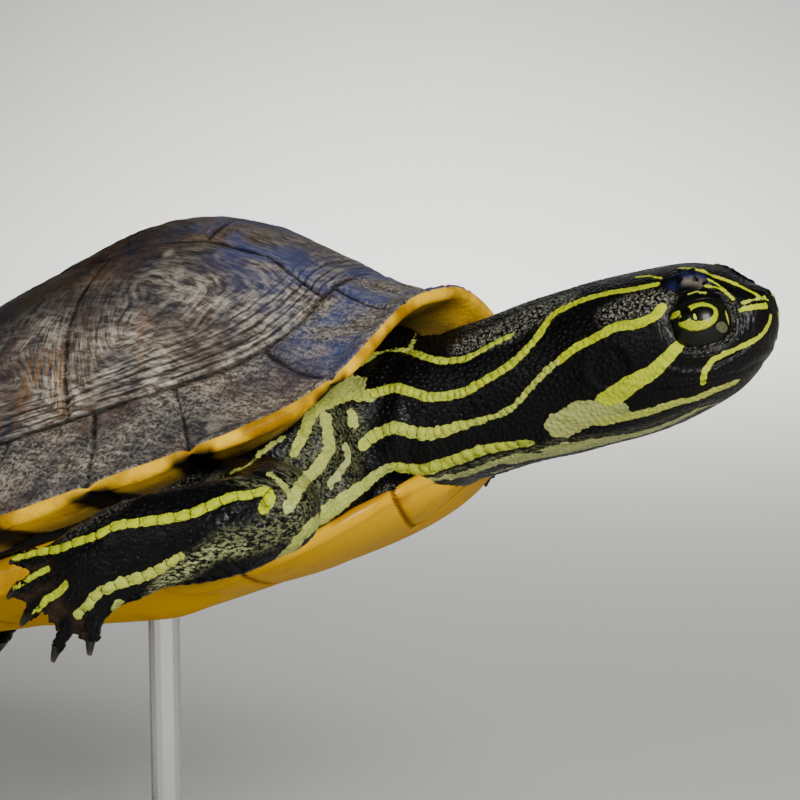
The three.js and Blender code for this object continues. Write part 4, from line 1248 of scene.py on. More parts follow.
def lay_scales(name, roots, normals, along, across_mm, along_mm, height_mm, seed, sides=6):
    """One joined mesh of scales, each turned to lie along the body."""
    template, triangles = scale_template(sides)
    rng = np.random.default_rng(seed)
    count = len(roots)
    tangent = unit(along - normals * (along * normals).sum(1, keepdims=True))
    side = np.cross(normals, tangent)
    wide = np.broadcast_to(across_mm, count) * rng.uniform(0.9, 1.08, count)
    long = np.broadcast_to(along_mm, count) * rng.uniform(0.9, 1.1, count)
    tall = np.broadcast_to(height_mm, count) * rng.uniform(0.7, 1.2, count)
    wobble = rng.uniform(0.9, 1.1, (count, len(template)))
    t = template[None] * np.ones((count, 1, 1))
    t[:, :, :2] *= wobble[:, :, None]
    lifted = t[:, :, 2] + 0.25 * np.where(t[:, :, 2] > 0, t[:, :, 1], 0)
    points = (roots[:, None] + side[:, None] * (t[:, :, 0] * wide[:, None])[:, :, None]
              + tangent[:, None] * (t[:, :, 1] * long[:, None])[:, :, None]
              + normals[:, None] * (lifted * tall[:, None])[:, :, None])
    faces = (triangles[None] + (np.arange(count) * len(template))[:, None, None]).reshape(-1, 3)
    obj = triangle_object(name, points.reshape(-1, 3), faces)
    _, sheet = locate(roots)
    patch = sheet[:, None] / SHEET_MM + t[:, :, :2] * SCALE_PATCH
    layer = obj.data.uv_layers.new(name="OFBake")
    layer.data.foreach_set("uv", patch.reshape(-1, 2)[faces.ravel()].astype(np.float32).ravel())
    return obj, len(template)


def surface_of(obj):
    """A mesh's points, normals, triangles and triangle areas, in the shell's frame."""
    obj.data.calc_loop_triangles()
    triangles = read_all(obj.data.loop_triangles, "vertices", 3)
    p = points_of(obj)
    a, b, c = (p[triangles[:, k]] for k in range(3))
    areas = np.linalg.norm(np.cross(b - a, c - a), axis=1) / 2
    return p, normals_of(obj), triangles, areas


def lie_of(roots):
    """The way the coat lies: back along the neck, and down each limb to its toes."""
    part_of, _ = locate(roots)
    along = np.tile((-1.0, 0, 0), (len(roots), 1))
    for number, (name, line, _, _) in enumerate(body_parts()):
        mine = part_of == number
        if name == "neck" or not mine.any():
            continue
        nearest = distance(roots[mine][:, None], line).argmin(1)
        along[mine] = unit(np.gradient(line, axis=0))[nearest]
    return along


class TURTLE_OT_scales(bpy.types.Operator):
    """Covers neck, legs, chest and tail with scales that carry the skin's pattern"""
    bl_idname = "turtle.scales"
    bl_label = "Scales"

    def execute(self, context):
        settings = context.scene.turtle_skin
        skin = bpy.data.objects["turtle_skin"]
        surface = surface_of(skin)
        markings = Markings(skin)
        points, _, triangles, _ = surface
        centre = points[triangles].mean(1)
        part_of, _ = locate(centre)
        x, y = centre[:, 0], np.abs(centre[:, 1])
        eye_gap = distance(np.stack([x, -y, centre[:, 2]], 1), EYE_CENTRE)
        under_shell = (np.abs(x - 2) < 52) & (y < 60) & (part_of == -1)
        neck = part_of == part_named("neck")[0]
        feet = ((x < 67) & (x > 30) & (y > 55)) | (x < -112)
        limbs = np.isin(part_of, part_named(
            "foreleg_right", "foreleg_left", "hindleg_right", "hindleg_left"))
        spacing = settings.scale_spacing * 1000
        sets = {
            "neck_scales": (neck & (x > 80) & (x < 134), 0.8, 0.09, 6),
            "head_scales": (neck & (x >= 133.5) & (x < 152) & (eye_gap > 7.6), 0.62, 0.026, 6),
            "foreleg_scales": (limbs & ~feet & (x > 0), spacing * 0.58, 0.035, 6),
            "hindleg_scales": (limbs & ~feet & (x < 0), spacing * 1.1, 0.09, 7),
            "foot_scales": (limbs & feet, 0.9, 0.035, 6),
            "chest_scales": ((part_of == -1) & ~under_shell & (x > 0), 0.95, 0.06, 6),
            "rump_scales": ((part_of == -1) & ~under_shell & (x < 0), 1.4, 0.12, 6),
            "tail_scales": (part_of == part_named("tail")[0], 1.1, 0.13, 6),
        }
        for number, (name, (wanted, gap, height, sides)) in enumerate(sets.items()):
            roots, normals = scatter(surface, wanted, gap, seed=40 + number)
            tall = np.full(len(roots), height)
            if name == "neck_scales":
                tall *= lerp(0.45, 1.0, smoothstep(-0.1, 0.6, normals[:, 2]))
                tall *= lerp(0.3, 1.0, smoothstep(135, 126, roots[:, 0]))
            obj, _ = lay_scales(name, roots, normals, lie_of(roots), gap * 0.63,
                                gap * 0.7, tall, seed=60 + number, sides=sides)
            paint_values(obj, markings)
            finish_piece(obj, skin.data.materials[0])
        self.lay_beads(markings, skin)
        return {"FINISHED"}

    @staticmethod
    def lay_beads(markings, skin):
        """Large flat scales in rows along the beaded stripes, on both sides."""
        tree = BVHTree.FromObject(skin, bpy.context.evaluated_depsgraph_get())
        roots, normals, along, wide, long = [], [], [], [], []
        for line, half, beads, bead_mm in markings.bead_lines:
            for count in np.arange(math.ceil(beads[0]) + 0.5, beads[-1] - 0.3, 1):
                k = min(int(np.searchsorted(beads, count)), len(line) - 2)
                for side in (1, -1):
                    spot = line[k] * (1, side, 1)
                    if side < 0 and 30 < spot[0] < 68 and spot[1] > 50:
                        spot = raise_left_foot(spot[None])[0]
                    hit, normal, _, _ = tree.find_nearest(Vector(to_world([spot])[0]))
                    roots.append(to_shell([list(hit)])[0])
                    normals.append(np.array(normal) @ SHELL_AXES.T)
                    along.append((line[min(k + 1, len(line) - 1)] - line[k - 1]) * (1, side, 1))
                    wide.append(half[k])
                    long.append(bead_mm / 2)
        roots, normals = np.array(roots), unit(np.array(normals))
        obj, per_scale = lay_scales("stripe_beads", roots, normals, np.array(along),
                                    np.array(wide) * 0.93, np.array(long) * 0.98, 0.13,
                                    seed=90, sides=9)
        paint_values(obj, markings, np.repeat(roots, per_scale, axis=0))
        finish_piece(obj, skin.data.materials[0])


# ---- The carapace -----------------------------------------------------------------------------

CROWN_X, CROWN_Z = 44.0, 43.0
RIM_EDGE, RIM_UNDERSIDE, SHELL_WALL = 2.4, 13.0, 5.0
MARGINAL_DEPTH = 13.5                   # how far the rim plates reach up the shell
SHELL_CELLS = 262                       # squares across the shell's mesh
TOP_SHARE = 0.993                       # how far out the top's mesh goes, as a share of the rim
RIM_SEAMS = (3.5, 11.5, 33, 59, 76, 95, 114, 134, 155, 176, 198, 221, 246)
VERTEBRAL_SEAMS = (66, 32, -4, -40)
COSTAL_SEAMS = (48, 13, -24, -59)


def rim_at(angle):
    """The rim's points round the shell."""
    c, s = np.cos(angle), np.sin(angle)
    x = 100 * signed_power(c, 2 / 2.3)
    y = 74 * (1 - 0.1 * c) * signed_power(s, 2 / 2.3)
    rise = np.where(c > 0, 13.1 * np.exp(-(np.abs(y) / 27) ** 2.6),
                    5 * np.exp(-(np.abs(y) / 35) ** 2))
    return np.stack([x, y, rise], -1)


def rim_reach(angle):
    """How far the rim lies from under the crown, seen from above."""
    rim = rim_at(angle)
    return np.hypot(rim[..., 0] - CROWN_X, rim[..., 1])


def rim_arc(angle):
    """The way round the rim from the front in mm, the same on both sides."""
    fine = np.linspace(0, np.pi, 1500)
    arc = way_along(rim_at(fine))
    folded = np.abs((angle + np.pi) % (2 * np.pi) - np.pi)
    return np.interp(folded, fine, arc)


def dome_height(angle, share):
    """The shell's height on the way from the crown to the rim."""
    front = np.maximum(0, np.cos(angle)) ** 1.5
    rear = np.maximum(0, -np.cos(angle)) ** 1.5
    inner = 1.6 + 1.2 * front - 0.3 * rear
    outer = 0.85 + 1.4 * front - 0.2 * rear
    rim = rim_at(angle)[..., 2]
    return rim + (CROWN_Z - rim) * (1 - share ** inner) ** outer


def over_plan(angle, share, z):
    rim = rim_at(angle)
    return np.stack([lerp(CROWN_X, rim[..., 0], share), rim[..., 1] * share, z], -1)


def marginal_share(angle):
    return 1 - MARGINAL_DEPTH / rim_reach(angle)


def vertebral_half(x):
    """Half the width of the row of plates along the back, wavy from plate to plate."""
    return np.interp(x, (-78, -59, -40, -24, -4, 13, 32, 48, 66, 76, 88),
                     (21, 14, 12.5, 17, 12.5, 17.5, 12.5, 17, 11, 9.5, 13))


def plate_at(p, angle, share):
    """For points of the carapace: distance to the nearest seam in mm, and the plate's number."""
    x, y = p[:, 0], np.abs(p[:, 1])
    reach = rim_reach(angle)
    edge = marginal_share(angle)
    ring = np.abs(share - edge) * reach
    arc = rim_arc(angle)
    seams = np.array(RIM_SEAMS)
    arc = arc - 20 * (1 - share) * bump_at(arc, 38, 9)
    wander = 0.6 * lattice_noise(np.stack([arc / 9, share * 9, 0 * arc], 1), 21)
    rim_gap = np.abs(arc[:, None] + wander[:, None] - seams[None]).min(1) * np.clip(share, 0.6, 1)
    half = vertebral_half(x)
    side = np.abs(y - half)
    back_gap = np.abs(x[:, None] - np.array(VERTEBRAL_SEAMS)[None]).min(1)
    bent = np.array(COSTAL_SEAMS)[None] + np.array((0.013, 0.004, -0.006, -0.012))[None] \
        * (y[:, None] - 26) ** 2
    cost_gap = np.abs(x[:, None] - bent).min(1) * 0.96
    in_rim = share > edge
    in_back = (y < half) & ~in_rim
    gap = np.where(in_rim, np.minimum(rim_gap, ring),
                   np.minimum(np.minimum(ring, side), np.where(in_back, back_gap, cost_gap)))
    plate = np.where(in_rim, 20 + np.searchsorted(seams, arc),
                     np.where(in_back, np.searchsorted(-np.array(VERTEBRAL_SEAMS), -x),
                              10 + (x[:, None] < bent).sum(1)))
    return gap, plate


def square_loops(cells):
    """A grid of cells x cells points mapped evenly onto a disc: angle, share, faces, outer loop."""
    line = np.linspace(-1, 1, cells + 1)
    a, b = np.meshgrid(line, line)
    a, b = a.ravel(), b.ravel()
    wide = np.abs(a) >= np.abs(b)
    share = np.where(wide, np.abs(a), np.abs(b))
    safe_a, safe_b = np.where(a == 0, 1, a), np.where(b == 0, 1, b)
    angle = np.where(wide, np.pi / 4 * b / safe_a + np.where(a < 0, np.pi, 0),
                     np.pi / 2 - np.pi / 4 * a / safe_b + np.where(b < 0, np.pi, 0))
    n = cells + 1
    index = np.arange(n * n).reshape(n, n)
    faces = np.stack([index[:-1, :-1], index[:-1, 1:], index[1:, 1:], index[1:, :-1]], -1)
    loop = np.concatenate([index[0, :-1], index[:-1, -1], index[-1, :0:-1], index[:0:-1, 0]])
    return angle, share, faces.reshape(-1, 4), loop


def make_carapace(settings):
    angle, share, faces, loop = square_loops(SHELL_CELLS)
    share = share * TOP_SHARE
    points = over_plan(angle, share, dome_height(angle, share))
    around = angle[loop]
    rim_z = rim_at(around)[:, 2]
    drop = lerp(3.0, 0.8, np.maximum(0, np.cos(around)) ** 1.5)
    inner = 1 - RIM_UNDERSIDE / rim_reach(around)
    # Rings go down round the edge, in under the rim plates, and up inside the dome.
    rings, under = [], []
    for t in (0.25, 0.5, 0.75, 1.0):
        out = TOP_SHARE + 0.009 * math.sin(math.pi * t)
        rings.append(over_plan(around, out, rim_z - RIM_EDGE * (0.04 + 0.96 * t)))
        under.append(0.25 + 0.75 * t)
    for t in (0.15, 0.35, 0.55, 0.75, 0.9, 1.0):
        depth = drop * smoothstep(0, 1, t) + RIM_EDGE
        rings.append(over_plan(around, lerp(0.99, inner, t), rim_z - depth))
        under.append(1.0 + t)
    for part in (0.97, 0.6, 0.15):
        level = part * inner
        rings.append(over_plan(around, level, dome_height(around, level) - SHELL_WALL))
        under.append(3.0)
    start, size, count = len(points), len(loop), len(rings)
    index = np.vstack([loop, start + np.arange(count * size).reshape(count, size)])
    beside = np.roll(index, -1, axis=1)
    ring_faces = np.stack([index[:-1], index[1:], beside[1:], beside[:-1]], 2).reshape(-1, 4)
    hub = start + count * size
    cap = [(a, hub, b) for a, b in zip(index[-1], beside[-1])]
    obj = mesh_object("carapace_shell", np.vstack([points, *rings, [rings[-1].mean(0)]]),
                      np.vstack([faces, ring_faces]).tolist() + cap)
    edit_whole(obj, bpy.ops.mesh.normals_make_consistent, inside=False)

    angles = np.concatenate([angle, np.tile(around, count), [0]])
    shares = np.concatenate([share, np.ones(count * size), [0]])
    below = np.concatenate([np.zeros(start), np.repeat(under, size), [3.0]])
    p, normal = points_of(obj), normals_of(obj)
    gap, plate = plate_at(p, angles, shares)
    along_rim, reach = rim_arc(angles), rim_reach(angles)
    upper, hidden = below == 0, below >= 3
    depth, width = settings.seam_depth * 1000, settings.seam_width * 1000
    groove = -depth * np.exp(-(gap / width) ** 2)
    inside = (marginal_share(angles) - shares) * reach
    growth = -0.13 * np.maximum(0, np.cos(2 * np.pi * inside / 3.1)) ** 3 \
        * smoothstep(11, 6, inside) * smoothstep(1.2, 2.2, inside)
    swell = 0.7 * (1 - np.exp(-gap / 4))
    slanted = along_rim - 20 * (1 - shares) * bump_at(along_rim, 38, 9)
    lips = 0.16 * bump_at(gap, 1.5 * width + 0.5, 0.4) \
        + 0.4 * bump_at(slanted, 34.8, 0.8) * smoothstep(1, -1, inside) \
        * (0.5 + bump_at(inside, -8, 2.5))
    arc = along_rim + plate * 13.7
    run = shares * reach
    wrinkle = lattice_noise(np.stack([arc / 8, run / 2.2, plate * 3.1], 1), 33) * 0.13 \
        + lattice_noise(np.stack([arc / 2.5, run / 8, plate * 5.7], 1), 35) * 0.12 \
        + lattice_noise(p / 1.7, 37) * 0.07
    roll = 0.35 * lattice_noise(p / 14, 39)
    near_rim = smoothstep(0.9, 1.0, shares)
    move = np.where(upper, groove + lips + growth + (swell - 0.5) * (1 - near_rim)
                    + wrinkle + roll * (1 - near_rim), 0)
    seams = np.abs(along_rim[:, None] - np.array(RIM_SEAMS)[None]).min(1)
    side = smoothstep(12, 34, along_rim)
    notch = -0.7 * side * bump_at(seams, 0, 1.1) * smoothstep(0.93, 1.0, shares)
    knob = 0.7 * side * bump_at(seams, 0, 2.6) * bump_at(run - reach + 5, 0, 2.2)
    lobes = np.where(~upper & ~hidden, 0.8 * np.sqrt(np.clip(seams / 9, 0, 1)) - 0.55, 0)
    lobes = lobes * np.clip(below, 0, 1) * side
    move = move + np.where(hidden, 0, notch) + np.where(upper, knob, 0) + lobes
    set_points(obj, p + normal * move[:, None])
    front_bars = smoothstep(17, 11, inside) * smoothstep(-1, 2, inside) \
        * bump_at(along_rim, 88, 7) + 0.5 * bump_at(along_rim, 62, 5) * bump_at(inside, 8, 4)
    rear_bars = 0.8 * smoothstep(12, 4, inside) * smoothstep(95, 120, along_rim) \
        * bump_at((along_rim - 125) % 42, 21, 9)
    # A painted blue sheen, strongest towards the front of the shell and faint everywhere else.
    painted_blue_sheen = np.maximum(smoothstep(40, 26, along_rim) * smoothstep(6, -2, inside),
                      bump_at(along_rim, 18, 14))
    for name, values in {
            "seam": 9 * (1 - np.exp(-gap / 9)), "rim_seam": seams + 9 * (1 - side),
            "under": below, "arc": arc, "run": run, "ring": inside,
            "bars": front_bars + rear_bars, "painted_blue_sheen": 0.08 + 0.92 * painted_blue_sheen,
            "relief": wrinkle + growth + groove}.items():
        set_values(obj, name, values)
    return obj


def shell_material(settings):
    """Turtle shell horn, grown in layers and worn by water: dark charcoal with beige wrinkles
    and faint amber bars above, polished amber under the rim. Light and shade are painted in
    too: a darker crown, painted shade in the relief's hollows and deep under the rim, painted
    shadows at the rim plates' seams, a painted highlight on the crests and a painted blue sheen."""
    material, node = new_material("worn_shell_horn")
    place = node(PLACE)
    mark = {name: node(FROM_MESH, attribute_name=name) for name in (
        "seam", "arc", "run", "ring", "relief", "under", "rim_seam", "bars", "painted_blue_sheen")}
    broad = node("TexNoise", {"Vector": place, "Scale": 40.0})
    in_from_seam = node(PRODUCT, (mark["seam"], node(BOTH, (broad, 1.3, 0.35))))
    # Horn grows in rings round each plate: slow along them, fast from one ring to the next.
    rings = node("VectorMath", (place, (260, 260, 260), node("CombineXYZ", {
        "Z": node(PRODUCT, (in_from_seam, 3.6))})), operation="MULTIPLY_ADD")
    slant = node("Mapping", {"Vector": place, "Rotation": (0, -0.5, 0), "Scale": (0.35, 1, 1)})
    down = node("CombineXYZ", (mark["arc"], node(PRODUCT, (mark["run"], 0.16))))
    noise = {name: node("TexNoise", {"Vector": vector, "Scale": scale, "Detail": detail,
                                     "Roughness": rough})
             for name, vector, scale, detail, rough in (
                 ("rings", rings, 1.0, 4.0, 0.6), ("mottle", slant, 900.0, 5.0, 0.7),
                 ("pits", place, 1700.0, 3.0, 0.65), ("blotch", place, 95.0, 4.0, 0.55),
                 ("brown", place, 60.0, 4.0, 0.6), ("bars", down, 0.5, 4.0, 0.65),
                 ("fine", place, 1000.0, 3.0, 0.55), ("glow", place, 120.0, 3.0, 0.5))}
    # The plates along the rim are pitted, and the others wrinkled.
    edge_plates = node(EASED, (mark["ring"], 0.4, -0.4))
    weave = node(BLEND, {0: node(BOTH, (edge_plates, 0.35, 0.5)), 6: noise["rings"],
                         7: noise["mottle"]})
    weave = node(BLEND, {0: node(PRODUCT, (edge_plates, 0.5)), 6: weave, 7: noise["pits"]})
    wave = node(SINE, (node(BOTH, (noise["blotch"], 5.0, node(PRODUCT, (mark["ring"], 5.3)))),))
    growth = node(PRODUCT, (node(EASED, (wave, 0.35, 0.95)), node(
        EASED, (node(BOTH, (broad, 9.0, mark["ring"])), 13.0, 7.0))))
    growth = node(PRODUCT, (growth, node(EASED, (mark["ring"], 0.2, 1.0))))
    # Beige wear lies near the rim and thins out towards the crown, and the height factor below
    # darkens the shell's top still more: the dark crown is painted shade as well as less wear.
    worn = node(EASED, (mark["ring"], 8.0, 32.0, 1.0, 0.04))
    for less in (node(BOTH, (edge_plates, -0.35, 1.0)),
                 node(EASED, (node("SeparateXYZ", (place,), out="Z"), 0.151, 0.162, 1.0, 0.3)),
                 node(EASED, (noise["blotch"], 0.36, 0.62, 0.25, 0.95))):
        worn = node(PRODUCT, (worn, less))
    colour = settings.horn
    for share, layer in (
            (node(EASED, (noise["brown"], 0.42, 0.62, 0.0, 0.8)), linear("#3a291b")),
            (node(EASED, (noise["fine"], 0.5, 0.7, 0.0, 0.8)), linear("#131112")),
            # Painted blue sheen, in blotches.
            (node(PRODUCT, (node(EASED, (noise["blotch"], 0.62, 0.42)), mark["painted_blue_sheen"])),
             linear("#2a3252")),
            (node(PRODUCT, (node(EASED, (weave, 0.41, 0.66, 0.06, 1.0)), worn)), settings.streak),
            (node(PRODUCT, (node(EASED, (noise["bars"], 0.48, 0.64, 0.0, 0.7)), mark["bars"])),
             settings.bars),
            (node(PRODUCT, (growth, 0.62)), linear("#121011")),
            # Painted shade in the hollows of the relief, where the seams and growth lines are also
            # dark, and a painted highlight on its crests.
            (node(EASED, (mark["relief"], -0.12, -0.5, 0.0, 0.85)), linear("#0c0b0b")),
            (node(EASED, (mark["relief"], 0.12, 0.32, 0.0, 0.45)), linear("#b9ad98"))):
        colour = node(BLEND, {0: share, 6: colour, 7: layer})
    # Painted shadow in the notches at the rim plates' seams, under the rim.
    seam_shadow = node(PRODUCT, (
        node(EASED, (node(BOTH, (noise["glow"], -5.0, mark["rim_seam"])), 2.6, 0.2)),
        node(EASED, (mark["under"], 0.2, 1.0))))
    amber = settings.amber
    for share, layer in (
            (node(EASED, (noise["glow"], 0.36, 0.66)), linear("#805a00")),
            # Painted shade: the amber turns dark brown deeper in under the rim.
            (node(EASED, (mark["under"], 1.15, 1.75, 0.0, 0.85)), linear("#574827")),
            (seam_shadow, linear("#17120c"))):
        amber = node(BLEND, {0: share, 6: amber, 7: layer})
    edge = node(EASED, (node(BOTH, (noise["glow"], 0.3, mark["under"])), 0.34, 0.5))
    colour = node(BLEND, {0: edge, 6: colour, 7: amber})
    height = node(BOTH, (growth, -1.1, node(BOTH, (weave, 0.9, noise["fine"]))))
    rough = node(BLEND, {0: edge, 6: node(EASED, (weave, 0.35, 0.7, 0.34, 0.6)),
                         7: linear("#8c8c8c")})
    shader = node("BsdfPrincipled", {
        "Base Color": colour, "Roughness": rough, "IOR": 1.54, "Specular IOR Level": 0.02,
        "Normal": node("Bump", {"Strength": 0.6, "Distance": 0.0004, "Height": height}),
        "Coat Weight": 0.03, "Coat Roughness": 0.2, "Coat IOR": 1.33})
    node("OutputMaterial", {"Surface": shader})
    return material


class TURTLE_OT_carapace(bpy.types.Operator):
    """Builds the domed upper shell with its plates, seams and amber underside"""
    bl_idname = "turtle.carapace"
    bl_label = "Carapace"

    def execute(self, context):
        settings = context.scene.turtle_shell
        finish_piece(make_carapace(settings), shell_material(settings), ["carapace"])
        return {"FINISHED"}


# ---- The plastron -----------------------------------------------------------------------------

PLASTRON_FRONT_X, PLASTRON_REAR_X = 94.5, -88.0
NOTCH_FRONT_X, NOTCH_REAR_X, NOTCH_RADIUS = 53.0, -44.0, 6.0
PLASTRON_WALL, PLASTRON_CURL, LOBE_THINNING = 6.0, 3.6, 4.0


def outline_half(x):
    c = signed_power(np.clip(x / 100, -1, 1), 2.3 / 2)
    s = np.sqrt(np.maximum(0, 1 - c * c))
    return 74 * (1 - 0.1 * c) * s ** (2 / 2.3)


def bridge_share(x):
    return smoothstep(NOTCH_FRONT_X + NOTCH_RADIUS, NOTCH_FRONT_X - NOTCH_RADIUS, x) \
        * smoothstep(NOTCH_REAR_X - NOTCH_RADIUS, NOTCH_REAR_X + NOTCH_RADIUS, x)


def plastron_half(x):
    def lobe(t):
        return np.sqrt(np.maximum(0.0004, 1 - np.clip(t, 0, 1) ** 2.1))
    front = 36 * lobe((x - NOTCH_FRONT_X) / (PLASTRON_FRONT_X - NOTCH_FRONT_X))
    hind = 38 * lobe((NOTCH_REAR_X - x) / (NOTCH_REAR_X - PLASTRON_REAR_X))
    return lerp(np.where(x > 0, front, hind), outline_half(x) - 13.4, bridge_share(x))


def plastron_bottom(x, y):
    half = plastron_half(x)
    tip = 6.3 * np.clip((x - 62) / (PLASTRON_FRONT_X - 62), 0, 1) ** 2.2
    level = -25.8 + 11.5 * smoothstep(62, -10, x) + tip
    edge = PLASTRON_CURL * np.minimum(1, np.abs(y) / half) ** 3 * (1 - bridge_share(x))
    wing = smoothstep(30, half, np.abs(y)) * bridge_share(x)
    return lerp(level + edge, -11.7, wing)


def plastron_wall(x, y):
    share = np.minimum(1, np.abs(y) / plastron_half(x))
    thin = LOBE_THINNING * share ** 3 * (1 - bridge_share(x))
    return PLASTRON_WALL - np.maximum(thin, 3.4 * smoothstep(64, 88, x))


def belly_seams(x, y):
    """Distance in mm to the nearest seam of the belly plates."""
    y = np.abs(y)
    lines = (79 + 0.55 * y, 54 + 0.36 * y, 22 - 0.02 * y, -22 - 0.1 * y, -58 - 0.3 * y)
    return np.minimum.reduce([y, *(np.abs(x - line) * 0.92 for line in lines)])


def make_plastron():
    stations, across = 250, 66
    t = (np.arange(stations) + 0.35) / (stations - 0.3)
    xs = (PLASTRON_FRONT_X + PLASTRON_REAR_X) / 2 \
        - (PLASTRON_FRONT_X - PLASTRON_REAR_X) / 2 * np.cos(np.pi * t)
    turn = np.linspace(-np.pi / 2, np.pi / 2, 9)[1:-1]
    rings = []
    for x in xs:
        half = float(plastron_half(np.array([x]))[0])
        lip = min(2.4, 0.3 * half) * 0.75
        y = np.linspace(-1, 1, across) * (half - lip)
        xx = np.full(across, x)
        low = plastron_bottom(xx, y)
        high = low + plastron_wall(xx, y)
        edge_z = (low[-1] + high[-1]) / 2 + (high[-1] - low[-1]) / 2 * np.sin(turn)
        right = np.stack([np.full(7, x), (half - lip) + lip * np.cos(turn), edge_z], 1)
        rings.append(np.vstack([np.stack([xx, y, low], 1), right,
                                np.stack([xx, y, high], 1)[::-1], right[::-1] * (1, -1, 1)]))
    obj = ringed_object("plastron_shell", np.array(rings))
    p, normal = points_of(obj), normals_of(obj)
    gap = belly_seams(p[:, 0], p[:, 1])
    move = -0.45 * np.exp(-(gap / 0.45) ** 2) + 0.35 * (1 - np.exp(-gap / 3)) \
        + 0.22 * lattice_noise(p / 12, 51)
    move *= 1 - 0.8 * smoothstep(45, 58, np.abs(p[:, 1]))
    set_points(obj, p + normal * (move - 0.25)[:, None])
    set_values(obj, "seam", gap)
    set_values(obj, "height", p[:, 2] - plastron_bottom(p[:, 0], p[:, 1]))
    return obj


def belly_material(settings):
    """Belly shell: smooth wet horn, deep amber at the edge and darker below, where the underside
    is painted in shade, with a soft glow where light goes a little way into it."""
    material, node = new_material("polished_amber_horn")
    place = node(PLACE)
    broad, blotch, fine = (node("TexNoise", {"Vector": place, "Scale": scale, "Detail": detail})
                           for scale, detail in ((60.0, 3.0), (170.0, 4.0), (420.0, 3.0)))
    height, seam = (node(FROM_MESH, attribute_name=name) for name in ("height", "seam"))
    colour = settings.amber
    for share, layer in (
            (node(EASED, (broad, 0.42, 0.68)), "#966a00"),
            # Painted shade: the underside, low on the shell, is darker than the edge.
            (node(EASED, (height, 1.5, 0.3)), "#b08400"),
            (node(EASED, (blotch, 0.56, 0.74, 0.0, 0.8)), "#94640c"),
            (node(EASED, (seam, 0.75, 0.2)), "#5c3608")):
        colour = node(BLEND, {0: share, 6: colour, 7: linear(layer)})
    shader = node("BsdfPrincipled", {
        "Base Color": colour, "Roughness": 0.3, "IOR": 1.54, "Specular IOR Level": 0.0,
        "Normal": node("Bump", {"Strength": 0.12, "Distance": 0.0005, "Height": fine}),
        "Subsurface Weight": 0.04, "Subsurface Radius": (1.0, 0.5, 0.15),
        "Subsurface Scale": 0.0015, "Coat Weight": 0.13, "Coat Roughness": 0.18,
        "Coat IOR": 1.54})
    node("OutputMaterial", {"Surface": shader})
    return material


class TURTLE_OT_plastron(bpy.types.Operator):
    """Builds the belly shell with its bridges and seams"""
    bl_idname = "turtle.plastron"
    bl_label = "Plastron"

    def execute(self, context):
        material = belly_material(context.scene.turtle_shell)
        finish_piece(make_plastron(), material, ["plastron"])
        return {"FINISHED"}


# ---- Eyes and claws ---------------------------------------------------------------------------

def make_eye(name, side):
    """An eyeball with a bulged cornea, and the place of each point on its front in mm."""
    place = to_world([EYE_CENTRE * (1, -side, 1)])[0]
    deselect_all()
    bpy.ops.mesh.primitive_uv_sphere_add(
        segments=160, ring_count=100, radius=EYE_RADIUS / 1000, location=place)
    eye = bpy.context.object
    eye.name = eye.data.name = name
    bpy.ops.object.transform_apply(location=True, rotation=True, scale=True)
    p = points_of(eye) * (1, -side, 1)
    direction = unit(p - EYE_CENTRE)
    ahead, above = eye_axes()
    bulge = 0.16 * np.exp(-((1 - direction @ GAZE) / 0.10) ** 2)
    p = EYE_CENTRE + direction * (EYE_RADIUS + bulge)[:, None]
    set_points(eye, p * (1, -side, 1))
    set_values(eye, "ahead", direction @ ahead * EYE_RADIUS)
    set_values(eye, "above", direction @ above * EYE_RADIUS)
    return eye


# Ovals of colour on the eye's front, in mm: ahead of its middle, above it, half width, half
# height and colour. Each is painted over those before it.
IRIS_SPOTS = [
    (-0.4, 0.0, 3.0, 2.08, "#8f970c"), (-2.15, 1.3, 0.8, 0.85, "#050604"),
    (0.05, 0.22, 1.95, 1.12, "#030303"), (-2.5, 0.3, 1.1, 0.42, "#030303"),
    (-1.0, -0.05, 0.24, 0.5, "#b0b62c"), (-3.65, 1.5, 0.85, 0.52, "#9ba11a"),
    # The last oval, olive grey low beside the pupil towards the snout, is a painted highlight.
    (4.05, -0.7, 0.16, 1.1, "#8f9430"), (2.75, -2.2, 0.95, 0.75, "#454632"),
]


def eye_material():
    """A wet reptile eye: a yellow-green iris crossed by a dark bar, under a clear cornea
    that gives one sharp highlight."""
    material, node = new_material("wet_eye")
    place = node(PLACE)
    flecks, ripple = (node("TexNoise", {"Vector": place, "Scale": scale, "Detail": 3.0})
                      for scale in (2600.0, 900.0))
    ahead, above = (node(BOTH, (ripple, share, node(FROM_MESH, attribute_name=name)))
                    for name, share in (("ahead", 0.5), ("above", 0.3)))
    colour = linear("#0a0b07")
    for across, up, wide, tall, tone in IRIS_SPOTS:
        x, y = (node(PRODUCT, (node(SUM, (value, -middle)), 1 / half)) for value, middle, half in (
            (ahead, across + 0.25, wide), (above, up + 0.15, tall)))
        inside = node(EASED, (node(BOTH, (x, x, node(PRODUCT, (y, y)))), 1.12, 0.88))
        colour = node(BLEND, {0: inside, 6: colour, 7: linear(tone)})
    colour = node(BLEND, {0: node(EASED, (flecks, 0.45, 0.75, 0.0, 0.55)), 6: colour,
                          7: linear("#15180a")})
    shader = node("BsdfPrincipled", {
        "Base Color": colour, "Roughness": 0.3, "IOR": 1.376, "Specular IOR Level": 0.2,
        "Coat Weight": 0.12, "Coat Roughness": 0.04, "Coat IOR": 1.376})
    node("OutputMaterial", {"Surface": shader})
    return material


class TURTLE_OT_eyes(bpy.types.Operator):
    """Builds both eyeballs with iris, bar and cornea"""
    bl_idname = "turtle.eyes"
    bl_label = "Eyes"

    def execute(self, context):
        material = eye_material()
        for name, side in (("right", -1), ("left", 1)):
            eye = make_eye(f"eyeball_{name}", side)
            finish_piece(eye, material, [f"eye_{name}"])
        return {"FINISHED"}


